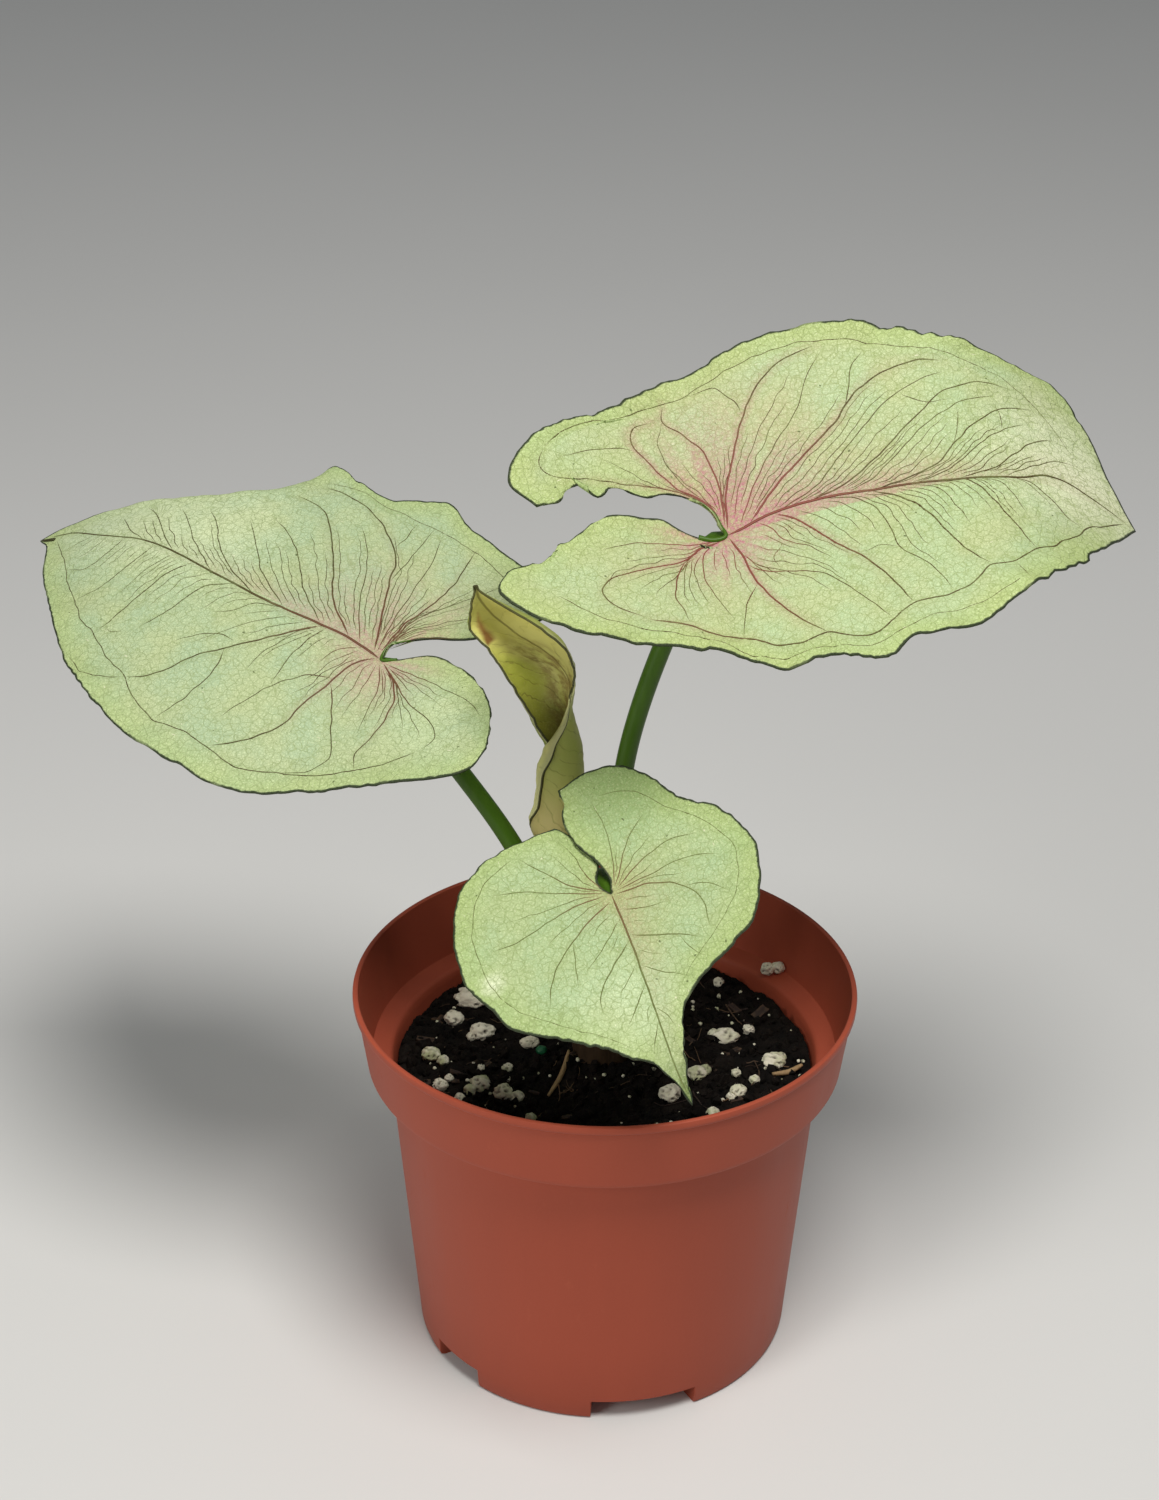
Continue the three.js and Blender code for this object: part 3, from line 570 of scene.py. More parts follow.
for _ in range(BARK_CHIPS):
    x, y = scattered(draw, 4)
    size = draw.uniform(1.6, 4.2)
    flat = lying(x, y, 0.2, (draw.uniform(-0.3, 0.3), draw.uniform(-0.3, 0.3), draw.uniform(0, 6)))
    shape = Matrix.Diagonal((size, size * draw.uniform(0.3, 0.6), 0.35, 1))
    chip = bmesh.ops.create_cube(bm, size=1, matrix=flat @ shape)["verts"]
    edges = once(edge for v in chip for edge in v.link_edges)
    bmesh.ops.subdivide_edges(bm, edges=edges, cuts=2, use_grid_fill=True)
    chip = once(v for edge in edges if edge.is_valid for v in edge.verts)
    shade = 0.15 + 0.4 * draw.random()
    for v in chip:
        v.co += Vector(draw.uniform(-0.12, 0.12) for _ in range(3))
        v[tone] = shade
add_piece("fibres_and_bark", bm, [fibre], sharp=45)

# Slivers: two straw-coloured splinters of dry bark, split off in milling. They lie loose on the
# soil with one end a little raised. Each is its two ends, with their rise, and its radius.
SLIVERS = (
    (((-11.6, -14.4, 0.2), (-7.4, -3.6, 1.4)), 0.45),
    (((35.2, -6.6, 0.6), (41.6, -3.2, 1.6)), 0.5),
)
NOISE_SEED = 7
noise.seed_set(NOISE_SEED)
splinter = Finish("dry_splinter", Roughness=0.75)
splinter_grain = splinter.grain(splinter.stretched(splinter.place(), 1, 0.3, 1), 1400, 4.0)
splinter.body = splinter.mix(splinter_grain, (104, 78, 48), (182, 152, 108))
splinter.wear(None, splinter_grain, 0.5, 0.0003)
for number, (ends, radius) in enumerate(SLIVERS):
    start, end = (Vector((x, y, soil_top(x, y) + rise + radius * 0.4)) for x, y, rise in ends)
    line = smooth_path([start, (start + end) / 2 + Vector((0.5, -0.3, -0.3)), end], 10)
    bm = bmesh.new()
    radii = [radius * (0.7 + 0.5 * math.sin(math.pi * k / (len(line) - 1))) for k in range(len(line))]
    for v in once(v for face in rod(bm, line, radii, 9) for v in face.verts):
        v.co += 0.1 * radius * noise.noise_vector(v.co * 1.7)
    add_piece(f"sliver_{number + 1}", bm, [splinter], [f"bark_sliver_{number + 1}"])

# Feed pellet: one small grain of slow plant food in a smooth dark green coating, pressed a
# little into the soil.
PELLET_SPOT = (-13.2, 0.2)
PELLET_SIZE = 2.6
coating = Finish("pellet_coating", IOR=1.5)
coat_cloud = coating.grain(coating.place(), 600, 3.0)
coating.body = coating.mix(coat_cloud, (4, 66, 38), (12, 104, 62))
coating.wear(0.35 + coat_cloud * 0.2, coat_cloud, 0.3, 0.0003)
pellet_centre = Vector((*PELLET_SPOT, soil_top(*PELLET_SPOT) + 0.2 * PELLET_SIZE))
bm = bmesh.new()
for v in bmesh.ops.create_icosphere(bm, subdivisions=4, radius=1)["verts"]:
    reach = 0.94 + 0.09 * noise.noise(v.co * 1.6)
    v.co = pellet_centre + v.co * (Vector((PELLET_SIZE, PELLET_SIZE, PELLET_SIZE * 0.8)) * reach / 2)
add_piece("green_pellet", bm, [coating], ["feed_pellet"])

# Stem base: the short, fleshy stem, rooted in the soil and wrapped by the clasping feet of the
# leaf stalks, which have dried to a brown fibrous sheath low down.
STEM_TOP = 75
STEM_SUNK = 6
STEM_LEAST = 0.02
stalk = Finish("leaf_stalk", IOR=1.45, Specular_IOR_Level=0.3)
stalk_place = stalk.place()
stalk_streaks = stalk.grain(stalk.stretched(stalk_place, 1, 1, 0.06), 900, 3.0)
stalk_cloud = stalk.grain(stalk_place, 90, 3.0)
stalk.body = stalk.mix(stalk_cloud, (46, 76, 8), (62, 98, 16))
stalk.coat(stalk_streaks * 0.35, (96, 130, 32))
stalk.coat(stalk.attribute("paleness"), (128, 138, 78))
stalk.wear(0.34 + stalk_streaks * 0.16, stalk_streaks, 0.15, 0.0003)

sheath = Finish("dry_sheath", Roughness=0.85, Specular_IOR_Level=0.2)
sheath_place = sheath.place()
sheath_fibres = sheath.grain(sheath.stretched(sheath_place, 1, 1, 0.12), 1100, 4.0)
sheath_height = sheath.part(sheath_place, "Z")
sheath.body = sheath.mix(sheath_fibres, (30, 21, 13), (74, 56, 36))
sheath.coat(sheath.step(sheath_height, 0.0705, 0.0755), (70, 88, 34))
sheath.wear(None, sheath_fibres, 0.7, 0.0006)

stem_low = soil_top(0, 0) - STEM_SUNK
stem_side = [
    (STEM_LEAST, stem_low), (4, stem_low), (6, stem_low + 1.5), (7.2, stem_low + 5),
    (7.4, stem_low + 8), (6.9, STEM_TOP - 2.2), (6.1, STEM_TOP - 0.6), (4.6, STEM_TOP - 0.1),
    (STEM_LEAST, STEM_TOP),
]
bm = bmesh.new()
outline = [bm.verts.new(p) for p in smooth_path([(r, 0, z) for r, z in stem_side], 5)]
outline_edges = [bm.edges.new(pair) for pair in zip(outline, outline[1:])]
bmesh.ops.spin(bm, geom=outline + outline_edges, cent=(0, 0, 0), axis=(0, 0, 1), dvec=(0, 0, 0),
               angle=math.tau, steps=72, use_merge=True)
bmesh.ops.remove_doubles(bm, verts=bm.verts, dist=0.03)
bmesh.ops.recalc_face_normals(bm, faces=bm.faces)
for v in bm.verts:
    turn = math.atan2(v.co.y, v.co.x)
    if 0.5 < v.co.xy.length:
        ragged = noise.noise(Vector((turn * 4, v.co.z * 0.25, 0)))
        shrink = 0.94 - 0.06 * abs(math.sin(2 * turn + 0.4)) - 0.06 * ragged
        v.co.x, v.co.y = v.co.x * shrink, v.co.y * shrink
add_piece("stem_sheath", bm, [sheath], ["stem_base"])

# Leaves: three open, heart-shaped blades of thin living tissue, each grown on the end of its
# stalk at the notch. Here are their places, outlines and bends, for the stalks and the blades.
TIP_DROOP_FROM = 45
BLADE_THICKNESS = 0.45

# joint is where the stalk meets the blade; turn is the blade's yaw, lift and roll in degrees. Its
# own x runs along the midrib to the tip and y to its left. left and right are outlines in that
# flat frame, from the joint along the notch, then from there round the margin to the tip.
# ripple is the margin's waves, their height and phase; form and tuck are read in leaf_height;
# crinkle is the margin's unevenness, notch_dip how far the right half sinks beside the notch.
# pink is how far the pink runs on the far side of the midrib, on the near side and along a thick
# vein, and its strength; far_half is the half with more of it, 0 the right and 1 the left one.
# between is where thin veins lie between two drawn ones; seed varies them and the crinkles.
LEAVES = {
    "right": {
        "joint": (22.6, 3, 182.9), "turn": (3.5, 16.7, 30.6), "ripple": (7, 0.7, 0.3),
        "form": (0.00096, 0.0266, -0.0002, 0.0006, 0.21, 0.5), "tuck": None, "crinkle": 0.85,
        "notch_dip": 0, "pink": (22, 11, 34, 1.0), "far_half": 1, "between": (0.25, 0.5, 0.75),
        "seed": 5,
        "left": (
            ((0, 0), (-0.5, 2.5), (-1.1, 5.4), (-2.7, 7.6), (-6.4, 9.9), (-9.2, 10.3), (-12.6, 9.6),
             (-16.3, 11.3), (-18.6, 11.8), (-20.1, 10.6), (-21.5, 10.1), (-22.5, 10.9), (-23.7, 12.6),
             (-25.2, 12.3), (-27.1, 10.2), (-29.2, 8.5), (-33, 8)),
            ((-33, 8), (-37, 13.5), (-32, 22), (-24, 27), (-14, 30), (-4, 35), (6, 37), (20, 40),
             (35, 37.5), (49, 31.5), (63, 27), (71.5, 25), (75.5, 17), (77, 7), (79, -2)),
        ),
        "right": (
            ((0, 0), (-3.1, -0.4), (-5.2, 0.4), (-8.5, 2.6), (-10.8, 4.8), (-13.6, 5.1), (-18.3, 6),
             (-22.6, 5.1), (-25.9, 2.4), (-28.7, 0.3), (-30.9, -0.7), (-32, -3), (-35.5, -5.3),
             (-41, -7.5)),
            ((-41, -7.5), (-43, -13), (-35, -21), (-24, -26), (-13, -28), (-4, -31), (4, -36.5),
             (14, -37), (21, -40), (30, -37.5), (39, -38.5), (53, -31), (65, -21), (73, -11), (79, -2)),
        ),
    },
    "left": {
        "joint": (-45.4, 12, 151.5), "turn": (147.7, 17.7, -21.4), "ripple": (6, 0.6, 1.7),
        "form": (0.003, 0.0027, -0.0001, 0.0017, -0.06, 0.37), "tuck": (0.2, 51, 0.5, 44, 56, 84, 95),
        "crinkle": 0.45, "notch_dip": 0, "pink": (19, 10, 28, 0.75), "far_half": 0,
        "between": (0.25, 0.5, 0.75), "seed": 4,
        "left": (
            ((0, 0), (-3, -2), (-8, -6), (-14, -6), (-22, -3.5), (-29, 2), (-34, 10)),
            ((-34, 10), (-34, 16), (-27, 22), (-16, 28), (-5, 35), (5, 40), (19, 42), (34, 41),
             (47, 37.5), (60, 31), (72, 22), (83, 13), (91, 4), (95, 2)),
        ),
        "right": (
            ((0, 0), (1, -4), (-4, -10), (-11, -13.5), (-16, -18), (-20, -23)),
            ((-20, -23), (-21, -29), (-16, -34), (-8, -38), (2, -41), (10, -42), (18, -44.5), (28, -39),
             (37, -38.5), (45, -41), (51, -35), (58, -27.5), (68, -20.5), (78, -14), (88, -7), (95, 2)),
        ),
    },
    "front": {
        "joint": (0.6, -32, 123.2), "turn": (-71, -23.8, 19.1), "ripple": (5, 0.5, 2.6),
        "form": (0.0019, 0.001, 0, 0.0009, 0.09, 0.1), "tuck": None, "crinkle": 0.7, "notch_dip": 1.2,
        "pink": (9, 6, 18, 0.5), "far_half": 1, "between": (0.5,), "seed": 5,
        "left": (
            ((0, 0), (-3, 0.7), (-5.8, 0.1), (-8.4, -0.9), (-11.2, -2.5), (-14.5, -3.6), (-18.3, -3.9),
             (-22, -2.9), (-25.6, -2.6)),
            ((-25.6, -2.6), (-27, 4), (-25, 11), (-20, 16), (-14, 19), (-9, 25), (-2, 29), (5, 29),
             (13, 26), (18, 22), (22, 15), (25, 9), (29, 5), (35, 3), (41, 1.2), (47, 0.3)),
        ),
        "right": (
            ((0, 0), (-1.9, -1.3), (-4, -1.5), (-5.9, -0.9), (-7.2, -0.2), (-9, -0.6), (-11.2, -1.5),
             (-14.5, -2.8), (-16.6, -4.2), (-17.7, -5.8)),
            ((-17.7, -5.8), (-17, -13), (-15, -21), (-10, -28), (-1, -31.5), (9, -32), (17, -28.5),
             (21, -27), (25, -20.5), (28, -16), (32, -10.5), (36, -5), (41, -1.5), (47, 0.3)),
        ),
    },
}


class Track:
    """A path whose points are found by the share of its length"""

    def __init__(self, path):
        self.path = path
        self.reach = [0.0]
        for a, b in zip(path, path[1:]):
            self.reach.append(self.reach[-1] + (b - a).length)

    def at(self, share):
        target = share * self.reach[-1]
        k = min(max(bisect.bisect_right(self.reach, target), 1), len(self.path) - 1)
        span = max(self.reach[k] - self.reach[k - 1], 1e-9)
        return self.path[k - 1].lerp(self.path[k], min((target - self.reach[k - 1]) / span, 1.0))


def ease(value, start, end):
    t = min(max((value - start) / (end - start), 0.0), 1.0)
    return t * t * (3 - 2 * t)


def leaf_frame(leaf):
    yaw, lift, roll = (math.radians(angle) for angle in leaf["turn"])
    return Matrix.Translation(leaf["joint"]) @ Euler((roll, -lift, yaw)).to_matrix().to_4x4()


def leaf_height(leaf, x, y):
    """Height of the blade over its flat frame"""
    droop, tip_droop, lobe_droop, arch, fold, lobe_rise = leaf["form"]
    ahead, behind, beyond = max(x, 0), min(x, 0), max(x - TIP_DROOP_FROM, 0)
    z = -droop * ahead**2 - tip_droop * beyond**2 - lobe_droop * behind**2
    z += -arch * y**2 + fold * (math.hypot(y, 4) - 4) + lobe_rise * (math.hypot(behind, 4) - 4)
    if leaf["tuck"]:
        curl, line, slope, grows, grown, fades, faded = leaf["tuck"]
        past = max(-y - (line - slope * x), 0) * ease(x, grows, grown) * (1 - ease(x, fades, faded))
        z -= curl * past**2
    return z


def leaf_point(leaf, x, y, lift=0.0):
    return leaf_frame(leaf) @ Vector((x, y, leaf_height(leaf, x, y) + lift))


# Petioles: smooth, juicy round leaf stalks of living tissue. Each rises out of the stem base and
# goes on as the thick rib under its blade.
STALK_FOOT = 66
FOOT_RADIUS = 2.2
STALK_RADIUS = 1.95
STALK_STEPS = 90
RIB_UNDER = ((1, 1.75), (7, 1.3), (16, 0.85))
RIB_END_RADIUS = 0.5
RIB_GAP = 0.3
INSIDE_SOLID = 0.985
FOOT_PALENESS = 0.7
PALE_HEIGHT = 16

# Each path is its points over the soil, its last bend in the leaf's flat frame and how far the
# rib runs on under the blade; RIB_UNDER is that rib's places along the midrib and its radii there
PETIOLE_PATHS = {
    "right": (((3.4, 0.5, 66), (3.2, 2, 100), (3.5, 3, 131.3), (11, 5, 158.4), (17, 6.5, 171)),
              ((-3.2, 2.6, -4.9),), 30),
    "left": (((-3.4, 0.2, 66), (-8.4, 2.2, 88), (-18.4, 4.6, 111.6), (-30, 8, 128.4)),
             ((-8, 1, -9.5), (-3, -3, -4.9)), 30),
    "front": (((0.1, -3.4, 66), (0.2, -8.5, 86), (-0.6, -14.5, 107)),
              ((-9, -0.9, -7.6), (-5, -0.5, -4.2)), 20),
}


def foot_paleness(z):
    return FOOT_PALENESS * (1 - ease(z, STALK_FOOT, STALK_FOOT + PALE_HEIGHT))


def stalk_piece(name, line, radii, paleness_at, replaced):
    bm = bmesh.new()
    pale = bm.verts.layers.float.new("paleness")
    for v in once(v for face in rod(bm, line, radii, 20) for v in face.verts):
        v[pale] = paleness_at(v.co.z)
    return add_piece(name, bm, [stalk], [replaced])


for name, (start, bend, rib_end) in PETIOLE_PATHS.items():
    leaf = LEAVES[name]
    points = [Vector(p) for p in start] + [leaf_frame(leaf) @ Vector(p) for p in bend]
    for x, radius in (*RIB_UNDER, (rib_end, RIB_END_RADIUS)):
        points.append(leaf_point(leaf, x, 0, -RIB_GAP - BLADE_THICKNESS - radius))
    track = Track(smooth_path(points))
    line = [track.at(k / STALK_STEPS) for k in range(STALK_STEPS + 1)]
    radii = []
    for k in range(STALK_STEPS + 1):
        left = (1 - k / STALK_STEPS) * track.reach[-1]
        stem = FOOT_RADIUS + (STALK_RADIUS - FOOT_RADIUS) * min(2 * k / STALK_STEPS, 1)
        rib = RIB_END_RADIUS + 1.25 * min(left / rib_end, 1)
        reach = ease(left, rib_end - 1, rib_end + 6)
        radii.append(min(stem, rib + (stem - rib) * reach) * INSIDE_SOLID)
    stalk_piece(f"stalk_{name}", line, radii, foot_paleness, f"petiole_{name}")

NEW_STALK = (
    (-0.1, 3.5, 66), (-4.4, 5.8, 88), (-9.2, 7.6, 105), (-11.1, 8, 112), (-10.3, 8, 117),
    (-9.3, 8, 125),
)
NEW_STALK_STEPS = 60
NEW_FOOT_RADIUS = 2.1
NEW_STALK_TAPER = 0.9
track = Track(smooth_path(NEW_STALK))
line = [track.at(k / NEW_STALK_STEPS) for k in range(NEW_STALK_STEPS + 1)]
radii = [NEW_FOOT_RADIUS - NEW_STALK_TAPER * k / NEW_STALK_STEPS for k in range(NEW_STALK_STEPS + 1)]
stalk_piece("stalk_new", line, radii, lambda z: foot_paleness(z) + 0.5 * ease(z, 98, 112),
            "petiole_new")

# Open blades: thin satin leaf tissue, pale yellow green, flushed pink round the joint and along
# the midrib. The margin is finely crinkled and has a thin blackish green edge.
BLADE_ROWS = 54
BLADE_COLUMNS = 400
ABOVE_BLADE = 40
MAIN_VEIN = 1
VEIN_SINK = 0.4
SINK_BREADTH = 1.3
UNDER_VEIN = 1.2
UNDER_BREADTH = 2
UNDER_RISE = 3
BETWEEN_STRENGTH = 0.9
BETWEEN_STEPS = 16

# Veins in the leaf's flat frame, each as its strength, from 3 for a midrib to 0.7 for a thin one,
# and its points. "left" and "right" are the fans on the two sides of the midrib, in order from the
# notch to the tip; "forks" branch off them, and "border" runs along the margin.
VEINS = {
    "right": {
        "midrib": (3.0, ((0, 0), (3, 0.5), (8, 1.8), (14, 2.4), (22, 2.2), (30, 1.2), (38, 0.3),
            (45, -1), (50, -1.5), (58, -1), (63, 1), (67, 1.2), (71, 0), (77.5, -1.6))),
        "left": (
            (1.5, ((0, 3), (-3, 8.8), (-9, 11.6), (-16, 12.6), (-23, 14), (-29, 14.6), (-30.6, 17),
                   (-29, 21))),
            (2.0, ((0, 2), (-2, 8), (-7, 12), (-11, 18), (-12.7, 22), (-11.6, 25), (-8, 26.2))),
            (2.0, ((0.3, 2), (1.2, 10), (0.3, 18), (-2.5, 22.8), (-6, 26.5), (-5, 30))),
            (2.2, ((0.6, 1), (2, 8), (5, 15), (8, 21), (10, 24.3), (14, 29.5), (19, 33), (27, 34.5))),
            (1.3, ((3, 1), (8, 9), (14, 16), (20, 22), (23.6, 28), (28, 33))),
            (2.3, ((5, 1.2), (12, 7.5), (20, 13), (26, 17), (29, 19.7), (33, 23), (38, 25), (44, 25.8),
                   (50, 25))),
            (1.4, ((11, 2.2), (19, 5), (26, 10.5), (33, 16), (39, 19.8), (46, 22), (50, 22.6))),
            (1.8, ((17, 2.4), (24, 3.8), (30, 6.5), (36, 10.5), (41, 13.8), (48, 18), (56, 20.2),
                   (62, 19.6))),
            (1.2, ((25, 2), (31, 4), (37, 8), (44, 12.4), (51, 15.6), (58, 17.4))),
            (1.8, ((30, 1.2), (37, 1.9), (43, 3.4), (47, 6.6), (52, 10.4), (58, 14.4), (65, 16.5))),
            (1.3, ((38, 0.3), (45, 1.6), (51, 5.4), (57, 9.6), (63, 12.6))),
            (1.6, ((46, -1.2), (53, 0.6), (58, 4.4), (63, 8.8), (68, 11.2))),
            (1.2, ((55, -1.3), (60, 1.8), (66, 5.4), (71, 7))),
        ),
        "right": (
            (1.4, ((0, -0.5), (-6, -1.2), (-12, -0.8), (-18, -0.6), (-24, -2.4))),
            (2.0, ((0, -0.8), (-5, -2.2), (-9, -5.4), (-14, -6.8), (-20, -8.4), (-24, -10.8),
                   (-24.8, -14), (-23, -17.4), (-18, -20.4))),
            (1.6, ((-8.6, -5.2), (-11, -10), (-12, -15), (-11.2, -19), (-10.6, -22.2))),
            (1.2, ((-2, -1), (-5, -4), (-6, -10), (-5, -15), (-2.4, -22))),
            (2.3, ((0.4, -0.4), (2, -6), (2.6, -10), (3.4, -14), (5.4, -19), (9, -25.4),
                   (13.6, -31.2))),
            (1.5, ((2.4, -8.6), (5, -11.4), (10, -13.5), (15, -15.6), (19, -20), (22.6, -26),
                   (26, -32))),
            (1.3, ((6, 1.4), (9, -1.6), (10.4, -5), (15, -8.6), (19, -14))),
            (2.3, ((10, 2), (13.6, -0.6), (17, -5), (20, -9.6), (23.6, -13.8), (26.4, -18.6),
                   (28.6, -24), (30.5, -29.4))),
            (1.5, ((20, 2.2), (26, 0.2), (29.4, -4), (30.6, -9), (31.4, -15), (36, -22), (38.4, -29))),
            (2.1, ((29, 1.3), (34, -1.8), (38, -7), (40.4, -13), (43, -19.4), (46.6, -24.8))),
            (1.2, ((37, 0.4), (42, -2.6), (44, -8), (45.4, -14))),
            (2.0, ((43, -0.6), (48, -2), (50.6, -6.4), (53.2, -13.6), (55.8, -21))),
            (1.2, ((50, -1.5), (53.6, -3), (55.4, -7), (56.4, -12))),
            (1.8, ((56, -1.2), (60, -2.4), (62.4, -6), (65, -10.6), (67, -11.6))),
        ),
        "forks": (
            (1.3, ((9.6, 23.8), (8.6, 27.6), (5, 31.4), (0, 31.2))),
            (1.4, ((29, 19.6), (31, 24), (33, 28.6), (36.4, 31.6))),
            (1.4, ((3.4, -14), (1, -18), (-1.2, -23), (-1.6, -27))),
            (1.1, ((23.8, -13.6), (28, -13.2), (32, -15))),
            (1.1, ((-12.4, 20), (-17, 20.6), (-22, 20), (-27, 18.6))),
            (1.0, ((-2, 8.4), (-6, 13), (-8, 20), (-6, 26.4))),
            (1.2, ((51, -24.5), (52, -27.6), (53, -30.4))), (1.0, ((40, 19.6), (44, 16.6), (50, 16.4))),
            (1.0, ((10.4, -5), (8, -9), (8.4, -12.6))), (1.0, ((14, -31.4), (13.6, -34.6))),
            (1.0, ((47, 6.4), (49, 10), (50, 15))), (1.0, ((57, 9.6), (58, 13), (57, 16.4))),
        ),
        "border": (
            (2.1, ((-18, -20.6), (-11, -22.4), (-6, -26), (-1.4, -27), (4, -30.4), (8, -32),
                   (13.6, -31.3), (19, -33.8), (24, -33.6), (26, -32), (30.5, -29.5), (37, -29.4),
                   (42, -27.9), (46.6, -25), (51, -24.5), (55.8, -21), (60, -19), (64.6, -15),
                   (67, -11.6), (71.6, -7.2), (77, -2))),
            (1.0, ((-29, 21), (-22, 26), (-14, 27.4), (-7, 29.4), (0, 31.4), (9, 34), (20, 36.2),
                   (32, 34), (44, 29.4), (54, 25.4), (62, 21), (67, 15.4), (70, 9))),
            (0.9, ((-33, -14), (-27, -19.6), (-20, -23), (-12, -25), (-5, -28.6), (3, -33.8),
                   (12, -34.6), (21, -36.6), (32, -34), (42, -33.4), (53, -28.6))),
        ),
    },
    "left": {
        "midrib": (2.9, ((0, 0), (5, -0.3), (10, -0.4), (16, 0.2), (22, 0.8), (30, 1.3), (38, 1),
            (45, 0.6), (52, -0.2), (60, -1.2), (67, -1.7), (73, -1.2), (80, -0.8), (87, -0.9),
            (93, 0.8))),
        "left": (
            (1.2, ((-1, 0.3), (-8, 0.2), (-16, 0.6), (-24, 1.8), (-28, 4))),
            (1.5, ((-1, 0.5), (-5, 2.6), (-10, 5.6), (-14, 7.6), (-19, 9), (-23, 12.4), (-22, 16.6))),
            (2.0, ((-0.6, 0.4), (-5, 2.8), (-9, 7.4), (-10.6, 13), (-11, 18), (-10.6, 21.4),
                   (-13, 25))),
            (1.2, ((0, 0.8), (-4, 6), (-6, 12), (-8, 18))),
            (2.2, ((1, 0.2), (3.8, 4), (4.8, 10), (6, 17.6), (6.6, 24), (9.6, 29), (13, 33),
                   (16, 35.6))),
            (1.2, ((5, -0.2), (9, 4), (10, 9))),
            (1.5, ((14, 0), (15, 4), (15.6, 9), (15.2, 13), (14.4, 18))),
            (2.3, ((15, 0.2), (18, 3.4), (22.6, 9), (27, 13.8), (30, 17), (33, 20.4), (35.4, 25.4),
                   (38.4, 29), (42, 31))),
            (1.3, ((25, 1), (31, 3.6), (34, 7.6), (37, 9.6))),
            (1.8, ((38, 1), (43, 4.6), (45, 11), (46.4, 15.6), (48.6, 20))),
            (1.9, ((50, 0), (53.2, 5.4), (54.6, 13), (55.2, 19.6), (56.6, 24.4))),
            (1.3, ((56, -0.6), (58.4, 6), (59.2, 14))),
            (1.7, ((62, -1.4), (63.4, 6), (65, 13.4), (68, 18.2))),
            (1.5, ((71, -1.4), (71.6, 5.4), (73.2, 9.8), (78, 10.6))),
            (1.2, ((80, -0.8), (82.4, 3), (84.6, 6))),
        ),
        "right": (
            (1.2, ((0.8, -3), (-2, -8.6), (-7, -11.6), (-13, -14.6))),
            (1.3, ((1, -3), (0, -10), (-4, -15.6), (-9, -20.4), (-14, -25))),
            (1.4, ((1.2, -2.6), (1.4, -12), (-1.4, -20), (-5, -26.6), (-7, -32))),
            (2.0, ((1.4, -1.4), (2.2, -10), (1.4, -18), (1.6, -26), (3.4, -33), (4.4, -37))),
            (1.3, ((2, -1), (5, -11), (7, -20), (9, -28), (12, -35))),
            (2.2, ((2.4, -0.6), (7, -8.6), (11.6, -17), (16, -24.6), (21.6, -29), (29, -32.6),
                   (37, -34), (43, -34))),
            (1.3, ((6, -0.5), (13, -9), (17, -16), (22, -22.6), (28, -28))),
            (2.1, ((9, -0.6), (18, -6.6), (23, -12.6), (28, -18.4), (33, -23.6), (39, -27.6),
                   (46, -28))),
            (1.5, ((16, 0), (25, -5.6), (31.4, -11.6), (38, -16.6), (44.6, -19.4))),
            (1.4, ((25, 0.8), (35, -4.4), (42, -10.6), (49, -16.6))),
            (1.6, ((33, 1.2), (43, -2.6), (50, -7.8), (55, -12.6), (59.6, -15.6))),
            (1.4, ((45, 0.5), (54, -4.8), (60, -9.6), (66, -13.6))),
            (1.5, ((57, -0.9), (63, -4.6), (69, -9.4), (74.6, -12))),
            (1.3, ((66, -1.6), (72, -3.8), (78.6, -8))),
        ),
        "forks": (
            (1.5, ((4.8, 10.4), (1, 14.6), (-3, 20), (-6.4, 24.6), (-5, 29), (0.4, 32.4))),
            (1.4, ((5, 9.4), (9.6, 11.6), (14, 17.6), (16.4, 23.6), (18.4, 29.6))),
            (1.6, ((28.4, 15.4), (26.6, 21), (27.4, 28), (30, 35.8))),
            (1.3, ((27.4, 13), (32, 13.2), (36, 15.8), (39.4, 19.6))),
            (1.2, ((12, -17.6), (13, -25), (14, -32), (15, -37.6))),
            (1.2, ((17.6, -26), (18, -31), (19, -36))),
            (1.2, ((42, 31), (46, 33), (52, 33.6), (58, 31))),
            (1.1, ((50.6, 21.6), (53.4, 22.8), (56, 22))),
            (1.1, ((18, 3.2), (19.6, 8), (21, 13), (21, 18))),
            (1.0, ((2, -14), (-1.6, -20), (-3, -26))),
        ),
        "border": (
            (1.4, ((-22, 16.6), (-17, 22), (-13, 25), (-6.4, 29.6), (0.4, 32.6), (8, 36), (16, 35.7),
                   (22, 35.2), (30, 36), (37, 34), (42, 31), (48, 29), (53, 26.6), (56.8, 24.4),
                   (62, 22.6), (68, 18.3), (74, 14.4), (78, 10.6), (84.6, 5.6), (90, 1.6))),
            (1.0, ((-13, -27), (-7, -32.6), (2, -36), (12, -36.4), (24, -36), (36, -36.4), (44, -35))),
        ),
    },
    "front": {
        "midrib": (2.2, ((0, 0), (10, 0.3), (20, 0.2), (30, 0), (40, -0.2), (46, 0.2))),
        "left": (
            (1.1, ((-1, 1), (-8, 3), (-15, 3.4), (-21, 2.6))),
            (1.4, ((-0.6, 1), (-6, 4.4), (-11, 8), (-14, 12))),
            (1.5, ((-0.4, 1.4), (-4, 7), (-6, 14), (-5.4, 20))),
            (1.3, ((0, 1), (-0.8, 9), (-1, 17), (1, 23))),
            (1.8, ((0.6, 0.4), (1, 7), (3.6, 12.4), (8, 15.8), (15, 15.4))),
            (1.2, ((4, 0.2), (5.8, 5), (6.4, 10))),
            (1.7, ((10, 0.3), (11.8, 4), (14, 9.4), (16.4, 13.4))),
            (1.3, ((17, 0.3), (20, 4), (22.6, 8))), (1.2, ((26, 0.1), (29, 2), (32, 2.8))),
        ),
        "right": (
